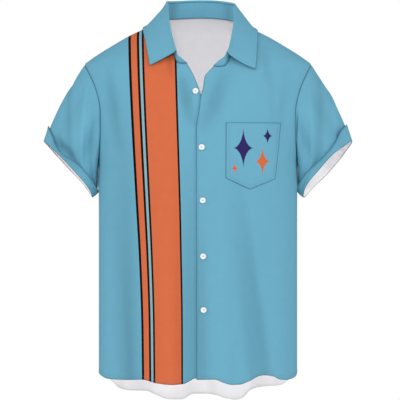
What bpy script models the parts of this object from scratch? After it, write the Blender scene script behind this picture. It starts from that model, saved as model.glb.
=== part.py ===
"""A short-sleeved camp shirt, filled out as it hangs on a body, with nobody in it.

Metres, +Z up. +X is to the right as the shirt is seen from the front, the front faces -Y, and the
origin is between the shoulders at the base of the neck. Right and left in a name are the wearer's,
so the right front lies at -X. Tables are in millimetres.

The body is a stack of level sections, each half of a superellipse: x across and y out to the front
or back. Every panel is a patch of that surface between its four cut edges. The sleeves are lofts
from the armhole to an ellipse at the cuff. Each piece is a wall of cloth with its own inner side,
and two pieces that meet at a seam share the seam's points and stop a little short of them.
"""

import bmesh
import bpy
import numpy as np
from mathutils import Matrix

MM = 0.001
CLOTH = 1.5 * MM  # wall of one layer
GAP = 0.34 * MM  # left between two pieces at a seam
ROUNDNESS = 2.3  # exponent of the superellipse: 2 is an ellipse, more is squarer
LAP_DROP = 2.6 * MM  # how far the under front lies behind the upper one at the closure
LAP_BLEND = 34 * MM  # width over which it gets there
LIFT_POCKET = 1.2 * MM
LIFT_COLLAR = 4.4 * MM
ROLL = 3.0 * MM  # outer radius of the collar's fold
ROLL_GAP = 0.5 * MM  # from the stand's top edge up to the fold's centre

LAP_START = -78 * MM  # height at which the under front starts to drop back
LAP_LENGTH = 45 * MM  # and how much lower it has got there

ARMHOLE_STEPS = 12  # shoulder point to underarm
SIDE_STEPS = 14  # underarm to hem
SHOULDER_STEPS = 8
SLEEVE_STEPS = 8
STAND_STEPS = 3
ROLL_STEPS = 4
LEAF_STEPS = 5
UNDERARM_Z = -262 * MM
SHOULDER_SECTIONS = 9  # the rows of SECTIONS down to the shoulder point

# How fast each edge's own shape fades into a panel: powers of the distance from the far edge.
TOP_FADE = (6, 3)  # of the x and the z of the neck and shoulder edges
BOTTOM_FADE = 3
INNER_FADE = 4
OUTER_FADE = 2
SIDE_FADE = 8  # and how close to the side seams the folds reach

CLOTH_BLUE = (0.155, 0.415, 0.520)
BUTTON_WHITE = (0.82, 0.83, 0.84)
ROUGHNESS = {CLOTH_BLUE: 0.85, BUTTON_WHITE: 0.35}
SHARP_ANGLE = np.radians(50)  # edges sharper than this stay crisp


def table(columns, rows):
    """A small table with named columns: millimetres in, metres out, but _deg stays in degrees."""
    named = zip(columns.split(), np.array(rows, float).T)
    return {name: values if name.endswith("_deg") else values * MM for name, values in named}


# Level sections of the body, from the shoulder line down.
SECTIONS = table("z half_width front back", [
    (30, 30, 2, 50),
    (22.5, 58, 6, 65),
    (14, 80, 18, 76),
    (1, 110, 35, 88),
    (-13.5, 140, 48, 96),
    (-31, 170, 61, 105),
    (-49.5, 200, 75, 111),
    (-60, 215, 83, 114),
    (-70, 226.8, 90, 117),
    (-90, 229, 99, 121),
    (-114, 227, 107, 125),
    (-140, 222, 112, 127),
    (-164, 217, 116, 129),
    (-200, 210, 120, 129),
    (-240, 203, 123, 127),
    (-262, 199.5, 124, 126),
    (-300, 198.6, 124, 123),
    (-400, 198.2, 121, 118),
    (-560, 198.2, 120, 120),
    (-760, 198.2, 122, 127),
])

# The armhole seam as it is seen from the front.
ARMHOLE = table("z x", [
    (-70, 226.8), (-90, 216.5), (-114, 206), (-140, 199), (-164, 196.4),
    (-200, 196.6), (-240, 198), (-262, 199.5),
])

# The neck seam on each front, from the closure to the shoulder seam, and above each of its points
# the top edge of the collar stand.
NECK = "x z top_x top_y top_z"
NECK_RIGHT = table(NECK, [
    (-21.7, -71, -22.7, -92, -69.2),
    (-33.5, -70.2, -33.5, -93, -60),
    (-41.4, -67.4, -40.8, -93, -53.5),
    (-45.6, -59.8, -44.7, -88, -42.4),
    (-49.8, -45.5, -49.4, -76, -25),
    (-56.5, -25, -54.9, -58, -2.3),
    (-62.7, -2, -58.6, -36, 24.8),
    (-65, 19.8, -60, -2, 50),
])
NECK_LEFT = table(NECK, [
    (30.6, -76.2, 31.3, -94, -74.6),
    (41.4, -76.6, 42.3, -95, -64.4),
    (51.3, -75.5, 52, -95, -57),
    (58.6, -67, 60.1, -91, -44.6),
    (63.2, -54, 63.8, -80, -32.1),
    (68, -36, 67.7, -65, -11.6),
    (73, -12, 72.1, -43, 15.4),
    (75.5, 15.7, 72.6, -2, 49),
])
# The same across the back, right to left, between the two shoulder seams.
NECK_BACK = table("x z", [
    (-60.5, 21.6), (-48, 23.6), (-32, 25.3), (-14, 26.6), (5, 27),
    (24, 26.5), (42, 24.6), (57, 21.8), (69, 18.4),
])
BACK_STAND = (0, -2 * MM, 33.5 * MM)  # from the neck seam up to the stand's top edge

# The front edge of each front, from the collar down past the closure.
EDGE_RIGHT = table("z x", [
    (-71, -21.7), (-88, -11.8), (-105, -3.9), (-121, 2), (-135, 6.9), (-160, 15), (-190, 22),
    (-690, 22),
])
EDGE_LEFT = table("z x", [
    (-76.2, 30.6), (-86, 21.7), (-97, 13), (-120, 9.8), (-137, 5.1), (-165, 2), (-197, -3.4),
    (-692, -3),
])

HEM_RIGHT = table("x z", [
    (-198.2, -684), (-193, -688), (-178, -694), (-150, -695), (-110, -693), (-84, -699),
    (-49, -702.6), (-29, -701), (-15.7, -695), (-5, -690), (22, -690),
])
HEM_LEFT = table("x z", [
    (-3, -692.8), (33, -692), (49, -698), (67, -702.6), (80, -702.4), (102, -695.8), (122, -687.8),
    (134, -685.4), (147, -687), (160, -694), (172, -695.5), (193, -691), (198.2, -684),
])
HEM_BACK = table("x z", [
    (-198.2, -684), (-174, -706), (-160, -721), (-140, -726.6), (-108, -728), (-88, -735.6),
    (-57, -747), (-33, -747), (-10, -735), (18, -735), (37, -738), (53, -744), (75, -747.6),
    (92, -742), (106, -728), (122, -721), (140, -718), (166, -715), (182, -703), (198.2, -684),
])

# Folds: a line down the panel, half width, and height out of (+) or into (-) the cloth.
FOLD = "x_top z_top x_low z_low width height"
FOLDS_FRONT = table(FOLD, [
    (-188, -60, -164, -260, 14, -5),
    (-176, -330, -132, -980, 20, -11),
    (-70, -260, -52, -1000, 24, 6),
    (-32, -100, -8, -200, 9, -4),
    (62, -70, 6, -215, 15, -6),
    (-17, -330, -15, -1050, 12, -5),
    (46, -330, 52, -1000, 18, 6),
    (62, -260, 162, -1000, 19, -11),
    (168, -300, 166, -1000, 20, 5),
    (186, -70, 160, -250, 14, -5),
])
FOLDS_BACK = table(FOLD, [
    (-126, -130, -104, -1080, 22, -9),
    (-58, -260, -50, -1100, 24, 7),
    (-6, -300, -12, -1080, 20, -7),
    (60, -330, 74, -1100, 24, 7),
    (128, -150, 116, -1060, 22, -9),
    (-176, -90, -150, -330, 15, -5),
    (178, -90, 150, -330, 15, -5),
])

# The sleeve's lower end, on the right: an ellipse between an outer and an inner end.
SLEEVE_OUTER = np.array((-306.5, 2, -222)) * MM
SLEEVE_INNER = np.array((-206.5, 2, -330)) * MM
SLEEVE_DEPTH = 43 * MM
SLEEVE_SWELL = 7 * MM
FOLD_RISE = 0.4  # share of the sleeve's length over which its folds reach full height
BACK_DROP = {-1: 7 * MM, 1: 20 * MM}  # how far the back of each sleeve end hangs below its front
DROP_ACROSS, DROP_DOWN = 0.72, -0.69  # which way that is: out from the body, and down

# Folds round a sleeve: angle from the top towards the front at the armhole and at the cuff.
FOLDS_SLEEVE = table("armhole_deg cuff_deg width_deg height", [
    (48, 34, 15, -6), (78, 70, 14, 5), (112, 100, 15, -5),
    (215, 228, 17, -6), (262, 266, 15, 5), (312, 322, 16, -6),
])

# The cuff band, by angle round the sleeve: its width and how far its upper edge stands off.
CUFF = table("angle_deg width stand_off", [
    (0, 31, 3), (40, 25, 4), (75, 18, 8), (110, 19, 5), (150, 23, 2.6), (180, 24, 2.2),
    (215, 24, 3), (270, 26, 5), (320, 29, 4), (360, 31, 3),
])
CUFF_STEPS = 3
CUFF_LIFT = 1.1 * MM
CUFF_OVERHANG = 1.5 * MM

# The collar leaf's outer edge, where it lies on the body, right point to left point.
LEAF_FIRST = 3  # the leaf starts at this row of the neck tables
LEAF_RISE = 0.3  # how far it stays upright below the roll, as a share of its length
LEAF_BULGE = 0.08  # and how far it swells away from the neck there
LEAF_RIGHT = table("x z", [
    (-94.5, -74.9), (-98.3, -53.4), (-103, -26.8), (-107, -1.6), (-104, 3.2),
])
LEAF_BACK = table("x z", [
    (-92, 7), (-75, 12), (-50, 16.5), (-22, 19), (5, 19.6), (32, 19), (58, 15.6), (82, 10), (99, 5),
])
LEAF_LEFT = table("x z", [
    (110, 0.6), (115.5, -5), (116.5, -30), (115.5, -56), (113.5, -79),
])

# The pocket's cut outline: top left, top right, low right, point, low left.
POCKET = table("x z", [
    (54.7, -188), (165.5, -188), (151.6, -299), (101.6, -319.5), (54.2, -297),
])
POCKET_STEPS = 8

BUTTON_LIFT = 0.8 * MM
BUTTON_STEPS = 24
# Half of a button's section: distance from its axis, height above its back.
BUTTON_SECTION = table("radius height", [
    (0, 2.0), (3.4, 2.0), (4.2, 2.7), (5.3, 2.7), (5.7, 2.0), (5.3, 0), (0, 0),
])
# The first one is the open top one on the under front.
BUTTONS = table("x z", [
    (-5.0, -126), (7.3, -236.5), (9.4, -340.5), (10.4, -450.3), (11.4, -555.6),
])


def smooth(at, xs, ys):
    """The value at `at` of a smooth curve through the rows (xs, ys), which never overshoots them."""
    order = np.argsort(xs)
    xs, ys = xs[order], ys[order]
    step = np.diff(xs)
    rise = np.diff(ys) / step
    same_way = rise[:-1] * rise[1:] > 0
    total = np.where(same_way, rise[:-1] + rise[1:], 1)
    inside = np.where(same_way, 2 * rise[:-1] * rise[1:] / total, 0)
    slope = np.concatenate([rise[:1], inside, rise[-1:]])
    i = np.clip(np.searchsorted(xs, at) - 1, 0, len(step) - 1)
    t = np.clip((at - xs[i]) / step[i], 0, 1)
    start = (1 + 2 * t) * (1 - t) ** 2 * ys[i] + t * (1 - t) ** 2 * step[i] * slope[i]
    end = t * t * (3 - 2 * t) * ys[i + 1] + t * t * (t - 1) * step[i] * slope[i + 1]
    return start + end


def ease(t):
    """0 to 1 with level ends."""
    t = np.clip(t, 0, 1)
    return t * t * (3 - 2 * t)


def unit(vectors):
    return vectors / np.linalg.norm(vectors, axis=-1, keepdims=True)


def folds_at(x, z, folds):
    """Height of all the folds at x, z: a bell across each line, rising and dying along it."""
    height = np.zeros(np.broadcast(x, z).shape)
    for x_top, z_top, x_low, z_low, width, high in zip(*folds.values()):
        along = (z - z_top) / (z_low - z_top)
        centre = x_top + (x_low - x_top) * along
        along = np.clip(along, 0, 1)
        height += high * np.sin(np.pi * along) * np.exp(-(((x - centre) / width) ** 2))
    return height


def body(x, z, side, drop=0.0):
    """Points and outward directions of the folded body surface; side is -1 in front and 1 behind.

    drop moves the points in by that much.
    """
    half = smooth(z, SECTIONS["z"], SECTIONS["half_width"])
    depth = smooth(z, SECTIONS["z"], SECTIONS["front" if side < 0 else "back"])
    across = np.clip(np.abs(x) / half, 0, 1)
    out = (1 - across ** ROUNDNESS) ** (1 / ROUNDNESS)
    flat = np.zeros_like(out)
    normal = np.sign(x) * across ** (ROUNDNESS - 1) / half, side * out ** (ROUNDNESS - 1) / depth
    normal = unit(np.stack([*normal, flat], -1))
    folds = folds_at(x, z, FOLDS_FRONT if side < 0 else FOLDS_BACK) * (1 - across ** SIDE_FADE)
    return np.stack([x, side * out * depth, z], -1) + normal * (folds - drop)[..., None], normal


def patch(top, bottom, inner, outer):
    """x, z of a grid between four edges: straight level rows that bend to meet each edge near it."""
    s = ((bottom[:, 0] - bottom[0, 0]) / (bottom[-1, 0] - bottom[0, 0]))[None, :, None]
    t = ((outer[:, 1] - outer[0, 1]) / (outer[-1, 1] - outer[0, 1]))[:, None, None]
    first, last = inner[None, :1], outer[None, :1]
    first = first + (inner[None, -1:] - first) * t
    last = last + (outer[None, -1:] - last) * t
    level = first + (last - first) * s
    level = level + (inner[:, None] - first) * (1 - s) ** INNER_FADE
    level = level + (outer[:, None] - last) * s ** OUTER_FADE
    return level + (top - level[0]) * (1 - t) ** TOP_FADE + (bottom - level[-1]) * t ** BOTTOM_FADE


def outer_edge(side):
    """x, z down a panel's armhole and side seam, on the wearer's right (-1) or left (1)."""
    turn = np.arange(ARMHOLE_STEPS + 1) / ARMHOLE_STEPS * np.pi
    top = ARMHOLE["z"][0]
    z_arm = top + (UNDERARM_Z - top) * (1 - np.cos(turn)) / 2
    z_side = np.linspace(UNDERARM_Z, HEM_RIGHT["z"][0], SIDE_STEPS + 1)[1:]
    x_arm = smooth(z_arm, ARMHOLE["z"], ARMHOLE["x"])
    x_side = smooth(z_side, SECTIONS["z"], SECTIONS["half_width"])
    return np.stack([side * np.concatenate([x_arm, x_side]), np.concatenate([z_arm, z_side])], -1)


def shoulder_edge(x_neck):
    """x, z along a shoulder seam, from just past the neck point x_neck to the shoulder point."""
    x = np.linspace(abs(x_neck), ARMHOLE["x"][0], SHOULDER_STEPS + 1)
    rows = slice(SHOULDER_SECTIONS)
    z = smooth(x, SECTIONS["half_width"][rows], SECTIONS["z"][rows])
    half = smooth(z, SECTIONS["z"], SECTIONS["half_width"])
    return np.stack([np.sign(x_neck) * half, z], -1)


def front_panel(neck, edge, hem, side, lapped_under):
    """The folded surface of a front, one point per seam step, from the closure to the side."""
    shoulder = shoulder_edge(neck["x"][-1])
    top = np.concatenate([np.stack([neck["x"], neck["z"]], -1)[:-1], shoulder])
    outer = outer_edge(side)
    t = (outer[:, 1] - outer[0, 1]) / (outer[-1, 1] - outer[0, 1])
    z_hem = smooth(edge["x"][-1], hem["x"], hem["z"])
    z_edge = top[0, 1] + (z_hem - top[0, 1]) * t
    inner = np.stack([smooth(z_edge, edge["z"], edge["x"]), z_edge], -1)
    turn = np.linspace(0, np.pi / 2, len(top))
    x_hem = inner[-1, 0] + (outer[-1, 0] - inner[-1, 0]) * np.sin(turn) ** (2 / ROUNDNESS)
    bottom = np.stack([x_hem, smooth(x_hem, hem["x"], hem["z"])], -1)
    x, z = np.moveaxis(patch(top, bottom, inner, outer), -1, 0)
    drop = lap_drop(x, z) if lapped_under else np.zeros_like(x)
    return body(x, z, -1, drop)[0]


def lap_drop(x, z):
    """How far the under front lies behind the upper one."""
    line = smooth(z, EDGE_LEFT["z"], EDGE_LEFT["x"])
    return LAP_DROP * ease((x - line + LAP_BLEND) / LAP_BLEND) * ease((LAP_START - z) / LAP_LENGTH)


def back_panel():
    """The folded surface of the back, from the wearer's right to the left."""
    right, left = shoulder_edge(NECK_RIGHT["x"][-1])[::-1], shoulder_edge(NECK_LEFT["x"][-1])
    top = np.concatenate([right, np.stack([NECK_BACK["x"], NECK_BACK["z"]], -1), left])
    turn = np.linspace(-np.pi / 2, np.pi / 2, len(top))
    x_hem = SECTIONS["half_width"][-1] * np.sign(turn) * np.abs(np.sin(turn)) ** (2 / ROUNDNESS)
    bottom = np.stack([x_hem, smooth(x_hem, HEM_BACK["x"], HEM_BACK["z"])], -1)
    x, z = np.moveaxis(patch(top, bottom, outer_edge(-1), outer_edge(1)), -1, 0)
    return body(x, z, 1)[0]


def armhole_ring(front, back_side):
    """The armhole seam as a ring: down the front from the shoulder point, and up the back."""
    return np.concatenate([front[:ARMHOLE_STEPS], back_side[ARMHOLE_STEPS:0:-1]])


def sleeve_surface(ring, side, down):
    """Sleeve points where down runs from 0 at the armhole to 1 at the cuff, one row for each step."""
    angle = np.arange(len(ring)) / len(ring) * 2 * np.pi
    mirror = np.array((-side, 1, 1))
    outer, inner = SLEEVE_OUTER * mirror, SLEEVE_INNER * mirror
    axis = (outer - inner) / 2
    across = np.array((0, -SLEEVE_DEPTH, 0))
    across = across - np.array((side * DROP_ACROSS, 0, DROP_DOWN)) * BACK_DROP[side] / 2
    end = (outer + inner) / 2 + np.cos(angle)[:, None] * axis + np.sin(angle)[:, None] * across
    down = np.asarray(down)[..., None]
    rows = ring + (end - ring) * down
    middle = rows.mean(axis=-2, keepdims=True)
    swell = SLEEVE_SWELL * np.sin(np.pi * np.clip(down, 0, 1)) * (1 + np.cos(angle)[:, None]) / 2
    return rows + unit(rows - middle) * (swell + sleeve_folds(angle, down))


def sleeve_folds(angle, down):
    """Height of the sleeve's folds, none at the armhole seam."""
    height = np.zeros(np.broadcast(angle[:, None], down).shape)
    for at_armhole, at_cuff, width, high in zip(*FOLDS_SLEEVE.values()):
        centre = np.radians(at_armhole + (at_cuff - at_armhole) * down)
        away = np.abs(angle[:, None] - centre) / np.radians(width)
        height += high * np.exp(-(away ** 2)) * ease(down / FOLD_RISE)
    return height


def cuff_surface(ring, side):
    """The cuff's outer points: the sleeve's points moved out, from its upper edge to the lower."""
    count = len(ring)
    angle = np.arange(count) / count * 360
    width = smooth(angle, CUFF["angle_deg"], CUFF["width"])
    stand_off = smooth(angle, CUFF["angle_deg"], CUFF["stand_off"])
    length = np.linalg.norm(sleeve_surface(ring, side, np.ones(1)) - ring, axis=-1)[0]
    up = np.linspace(1, 0, CUFF_STEPS + 1)[:, None]
    down = 1 + (CUFF_OVERHANG - up * (width + CUFF_OVERHANG)) / length
    points = sleeve_surface(ring, side, down)
    lift = CUFF_LIFT + CLOTH + (stand_off - CUFF_LIFT) * up ** 2
    return points + normals(points, True, -side) * lift[..., None]


def stand_surface(seam):
    """The collar stand from the neck seam up to its top edge."""
    right = np.stack([NECK_RIGHT["top_x"], NECK_RIGHT["top_y"], NECK_RIGHT["top_z"]], -1)
    left = np.stack([NECK_LEFT["top_x"], NECK_LEFT["top_y"], NECK_LEFT["top_z"]], -1)
    back = seam[len(right):-len(left)] + BACK_STAND
    top = np.concatenate([right, back, left[::-1]])
    up = np.linspace(0, 1, STAND_STEPS + 1)[:, None, None]
    return seam + (top - seam) * up


def leaf_edge():
    """The leaf's outer edge, lifted off the body."""
    edges = []
    for rows, side in (LEAF_RIGHT, -1), (LEAF_BACK, 1), (LEAF_LEFT, -1):
        points, normal = body(rows["x"], rows["z"], side)
        edges.append(points + normal * LIFT_COLLAR)
    return np.concatenate(edges)


def fall_surface(stand, out, cover):
    """The collar leaf: from the stand's top edge over a small roll and down to its outer edge.

    out points away from the neck at each point of the stand's top edge; cover is what it lies on.
    """
    used = slice(LEAF_FIRST, -LEAF_FIRST)
    top, out = stand[-1, used], out[used]
    up = unit(stand[-1, used] - stand[-2, used])
    turn = np.linspace(np.pi, 0, ROLL_STEPS + 1)[:, None, None]
    centre = top + out * (ROLL - CLOTH) + up * ROLL_GAP
    roll = centre + ROLL * (np.cos(turn) * out + np.sin(turn) * up)
    edge = leaf_edge()
    reach = np.linalg.norm(edge - roll[-1], axis=-1, keepdims=True)
    control = roll[-1] - up * reach * LEAF_RISE + out * reach * LEAF_BULGE
    t = np.linspace(0, 1, LEAF_STEPS + 1)[1:, None, None]
    leaf = roll[-1] * (1 - t) ** 2 + control * 2 * t * (1 - t) + edge * t ** 2
    return np.concatenate([roll, clear_of(leaf, cover, LIFT_COLLAR)])


def clear_of(points, cover, lift):
    """Moves points out until each is at least lift above the panels in cover."""
    under = np.concatenate([finer(panel["grid"]).reshape(-1, 3) for panel in cover])
    out = np.concatenate([finer(panel["normal"]).reshape(-1, 3) for panel in cover])
    flat = points.reshape(-1, 3)
    nearest = np.linalg.norm(flat[:, None] - under, axis=-1).argmin(axis=1)
    out = unit(out[nearest])
    above = ((flat - under[nearest]) * out).sum(axis=-1, keepdims=True)
    return (flat + out * np.maximum(lift - above, 0)).reshape(points.shape)


def finer(grid):
    """The grid with three more points on each step, in straight lines."""
    for axis in (0, 1):
        grid = np.moveaxis(grid, axis, 0)
        t = np.linspace(0, 1, 4, endpoint=False)[:, None, None]
        steps = [grid[i] + (grid[i + 1] - grid[i]) * t for i in range(len(grid) - 1)]
        grid = np.moveaxis(np.concatenate(steps + [grid[-1:]]), 0, axis)
    return grid


def pocket_surface():
    """The pocket on the left front: straight sides, and a point at the bottom."""
    x, z = POCKET["x"], POCKET["z"]
    across = np.linspace(0, 1, POCKET_STEPS + 1)
    top = np.stack([x[0] + (x[1] - x[0]) * across, z[0] + (z[1] - z[0]) * across], -1)
    low_x = np.interp(across, (0, 0.5, 1), (x[4], x[3], x[2]))
    low_z = np.interp(across, (0, 0.5, 1), (z[4], z[3], z[2]))
    down = np.linspace(0, 1, POCKET_STEPS + 1)[:, None, None]
    grid = top + (np.stack([low_x, low_z], -1) - top) * down
    points, normal = body(grid[..., 0], grid[..., 1], -1)
    return points + normal * (CLOTH + LIFT_POCKET)


def normals(grid, closed, turned):
    """Unit normals of a grid of points by differences; closed grids run round along each row.

    They point to the outside of the cloth: turned is -1 where rows and columns run the other way.
    """
    wide = np.concatenate([grid[:, -1:], grid, grid[:, :1]], 1) if closed else grid
    across = np.gradient(wide, axis=1)[:, 1:-1] if closed else np.gradient(wide, axis=1)
    down = np.gradient(grid, axis=0)
    return unit(np.cross(down, across)) * turned


def join_normals(pieces):
    """Gives all points that lie in one place, on whichever piece, the mean of their normals."""
    points = np.concatenate([piece["grid"].reshape(-1, 3) for piece in pieces])
    directions = np.concatenate([piece["normal"].reshape(-1, 3) for piece in pieces])
    _, place = np.unique(np.round(points / (0.01 * MM)), axis=0, return_inverse=True)
    total = np.zeros((place.max() + 1, 3))
    np.add.at(total, place.reshape(-1), directions)
    shared = unit(total)[place.reshape(-1)]
    start = 0
    for piece in pieces:
        size = piece["grid"].size // 3
        piece["normal"] = shared[start:start + size].reshape(piece["grid"].shape)
        start += size


def cut_back(grid, closed):
    """How far each edge point moves into its own piece, to leave half of the seam's gap."""
    move = np.zeros_like(grid)
    move[0] += unit(grid[1] - grid[0])
    move[-1] += unit(grid[-2] - grid[-1])
    if not closed:
        move[:, 0] += unit(grid[:, 1] - grid[:, 0])
        move[:, -1] += unit(grid[:, -2] - grid[:, -1])
    return move * GAP / 2


def wall(piece):
    """A closed wall of cloth between the piece's outer points and the same points moved in."""
    grid, normal, closed = piece["grid"], piece["normal"], piece["closed"]
    move = cut_back(grid, closed)
    outer, inner = grid + move, grid + move - normal * CLOTH
    rows, columns = grid.shape[:2]
    index = np.arange(rows * columns).reshape(rows, columns)
    if closed:
        index = np.concatenate([index, index[:, :1]], 1)
    under = index + rows * columns
    faces = [quads(index[:-1, :-1], index[1:, :-1], index[1:, 1:], index[:-1, 1:])]
    faces += [quads(under[:-1, 1:], under[1:, 1:], under[1:, :-1], under[:-1, :-1])]
    edges = [(index[0], under[0]), (index[-1, ::-1], under[-1, ::-1])]
    if not closed:
        edges += [(index[::-1, 0], under[::-1, 0]), (index[:, -1], under[:, -1])]
    for top, low in edges:
        faces += [quads(top[:-1], top[1:], low[1:], low[:-1])]
    points = np.concatenate([outer.reshape(-1, 3), inner.reshape(-1, 3)])
    new_object(piece["name"], points, np.concatenate(faces))


def quads(a, b, c, d):
    return np.stack([a.ravel(), b.ravel(), c.ravel(), d.ravel()], -1)


def new_object(name, points, faces):
    """A closed mesh object of cloth with its faces pointing out."""
    mesh = bpy.data.meshes.new(name)
    mesh.from_pydata(points.tolist(), [], faces.tolist())
    shape = bmesh.new()
    shape.from_mesh(mesh)
    bmesh.ops.recalc_face_normals(shape, faces=shape.faces)
    shape.to_mesh(mesh)
    shape.free()
    mesh.shade_smooth()
    mesh.set_sharp_from_angle(angle=SHARP_ANGLE)
    place(name, mesh, CLOTH_BLUE)


def place(name, mesh, colour):
    """Puts the mesh in the shirt's collection under its node's name, with its own material."""
    material = bpy.data.materials.new(name)
    material.use_nodes = True
    shader = material.node_tree.nodes["Principled BSDF"]
    shader.inputs["Base Color"].default_value = (*colour, 1)
    shader.inputs["Roughness"].default_value = ROUGHNESS[colour]
    shader.inputs["Metallic"].default_value = 0
    mesh.materials.append(material)
    made = bpy.data.objects.new(name, mesh)
    shirt_collection().objects.link(made)
    return made


def shirt_collection():
    name = "hawaiian_shirt"
    if name not in bpy.data.collections:
        bpy.context.scene.collection.children.link(bpy.data.collections.new(name))
    return bpy.data.collections[name]


def button(number, x, z):
    """A turned button that lies on the front at x, z; the first lies on the under front."""
    x, z = np.array([x, x + MM, x]), np.array([z, z, z - MM])
    points, _ = body(x, z, -1, lap_drop(x, z) if number == 1 else 0)
    axis = unit(np.cross(points[2] - points[0], points[1] - points[0]))
    across = unit(points[1] - points[0])
    radius, height = BUTTON_SECTION.values()
    profile = np.stack([radius, np.zeros_like(radius), height], -1)
    mesh = bpy.data.meshes.new(f"button_{number}")
    mesh.from_pydata(profile.tolist(), [(i, i + 1) for i in range(len(profile) - 1)], [])
    made = place(f"button_{number}", mesh, BUTTON_WHITE)
    turned = made.modifiers.new("turned", "SCREW")
    turned.steps = turned.render_steps = BUTTON_STEPS
    turned.use_merge_vertices = True
    turned.merge_threshold = 0.1 * MM
    axes = np.stack([across, np.cross(axis, across), axis, points[0] + axis * BUTTON_LIFT], -1)
    made.matrix_world = Matrix([*axes.tolist(), (0, 0, 0, 1)])


def cloth(name, grid, closed, turned):
    """A sewn piece: its outer points, whether its rows are rings, and its outward directions."""
    return {"name": name, "grid": grid, "closed": closed, "normal": normals(grid, closed, turned)}


def cloth_pieces():
    """All the sewn pieces."""
    front_right = front_panel(NECK_RIGHT, EDGE_RIGHT, HEM_RIGHT, -1, True)
    front_left = front_panel(NECK_LEFT, EDGE_LEFT, HEM_LEFT, 1, False)
    back = back_panel()
    neck_steps = len(NECK_RIGHT["x"])
    middle = back[0, SHOULDER_STEPS + 1:-SHOULDER_STEPS - 1]
    seam = np.concatenate([front_right[0, :neck_steps], middle, front_left[0, :neck_steps][::-1]])
    panels = [
        cloth("back", back, False, -1),
        cloth("front_right", front_right, False, -1),
        cloth("front_left", front_left, False, 1),
    ]
    stand = cloth("collar_stand", stand_surface(seam), False, 1)
    out = stand["normal"][-1]
    fall = cloth("collar_fall", fall_surface(stand["grid"], out, panels), False, -1)
    fall["normal"][0] = -out[LEAF_FIRST:-LEAF_FIRST]
    right_ring = armhole_ring(front_right[:, -1], back[:, 0])
    left_ring = armhole_ring(front_left[:, -1], back[:, -1])
    down = np.linspace(0, 1, SLEEVE_STEPS + 1)[:, None]
    return panels + [
        cloth("sleeve_right", sleeve_surface(right_ring, -1, down), True, 1),
        cloth("sleeve_left", sleeve_surface(left_ring, 1, down), True, -1),
        cloth("cuff_right", cuff_surface(right_ring, -1), True, 1),
        cloth("cuff_left", cuff_surface(left_ring, 1), True, -1),
        stand,
        fall,
        cloth("pocket", pocket_surface(), False, 1),
    ]


def main():
    for old in list(bpy.data.objects):
        bpy.data.objects.remove(old)
    pieces = cloth_pieces()
    join_normals(pieces)
    for piece in pieces:
        wall(piece)
    for number, (x, z) in enumerate(zip(BUTTONS["x"], BUTTONS["z"]), 1):
        button(number, x, z)


main()
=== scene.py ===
"""A short-sleeved camp shirt in cloth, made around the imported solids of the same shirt.

Metres, +Z up, the front faces -Y, and the origin is between the shoulders at the base of the neck.
Right and left in a name are the wearer's, so the right front lies at -X. Tables are in millimetres.
The forms are the solids' own, with finer steps, thinner cloth and more folds: level sections of a
superellipse for the body, lofts from the armhole to an ellipse for the sleeves.
"""

import bpy
import numpy as np
from bpy.props import FloatProperty, FloatVectorProperty, PointerProperty
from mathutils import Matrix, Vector


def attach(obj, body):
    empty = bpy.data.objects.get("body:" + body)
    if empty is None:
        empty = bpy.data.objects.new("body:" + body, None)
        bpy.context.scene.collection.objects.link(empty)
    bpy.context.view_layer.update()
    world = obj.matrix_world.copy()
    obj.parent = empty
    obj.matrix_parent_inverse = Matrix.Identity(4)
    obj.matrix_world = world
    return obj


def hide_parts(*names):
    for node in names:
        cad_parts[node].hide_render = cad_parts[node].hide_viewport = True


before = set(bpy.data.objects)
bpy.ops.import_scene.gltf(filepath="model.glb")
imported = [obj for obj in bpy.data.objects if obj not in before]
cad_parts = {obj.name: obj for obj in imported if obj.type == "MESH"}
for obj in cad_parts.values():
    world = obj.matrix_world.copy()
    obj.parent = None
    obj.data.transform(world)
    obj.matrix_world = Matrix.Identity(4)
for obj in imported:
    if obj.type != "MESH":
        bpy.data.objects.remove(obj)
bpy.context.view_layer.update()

bl_info = {
    "name": "Camp Shirt",
    "version": (1, 0, 0),
    "blender": (4, 5, 0),
    "location": "3D View > Sidebar > Shirt",
    "description": "Builds a short-sleeved camp shirt with a striped front and a patch pocket",
    "category": "Add Mesh",
}

MM = 0.001
FINE = 6  # steps of a grid here for each step of the solid's
WALL = 1.5 * MM  # cloth of the solids, which the cuffs' places count from
GAP = 0.04 * MM  # left between two pieces at a seam
ROUNDNESS = 2.3  # exponent of the superellipse: 2 is an ellipse, more is squarer
LAP_DROP = 2.6 * MM  # how far the under front lies behind the upper one at the closure
LAP_BLEND = 34 * MM  # width over which it gets there
LAP_START = -78 * MM  # height at which it starts to drop back
LAP_LENGTH = 45 * MM  # and how much lower it has got there
LIFT_POCKET = 1.2 * MM
LIFT_COLLAR = 4.4 * MM
NEARBY = 30 * MM  # how far round the collar's leaf the panels under it are looked for
ROLL = 2.5 * MM  # outer radius of the collar's fold
ROLL_GAP = 0.2 * MM  # from the stand's top edge up to the fold's centre

ARMHOLE_STEPS = 12 * FINE
SIDE_STEPS = 14 * FINE
SHOULDER_STEPS = 8 * FINE
SLEEVE_STEPS = 8 * 8
CUFF_STEPS = 3 * FINE
STAND_STEPS = 3 * FINE
ROLL_STEPS = 4 * 3
LEAF_STEPS = 5 * FINE
POCKET_STEPS = 8 * FINE
UNDERARM_Z = -262 * MM
SHOULDER_SECTIONS = 9  # the rows of SECTIONS down to the shoulder point

# How fast a panel's grid lines bend to meet each edge, as powers of the way there.
TOP_FADE = (6, 3)  # of x and of z
BOTTOM_FADE = 3
INNER_FADE = 4
OUTER_FADE = 2
SIDE_FADE = 8  # the same for the folds, which die out at the side seams
SECTION_BLUR = 14 * MM  # how far up and down the sections are evened out inside the panels
BLUR_TOP, BLUR_FADE = -30 * MM, 40 * MM  # from where down, and over what height that sets in
EDGE_SHARP = 7  # power of the distance across at which it dies out towards the side seams


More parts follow.
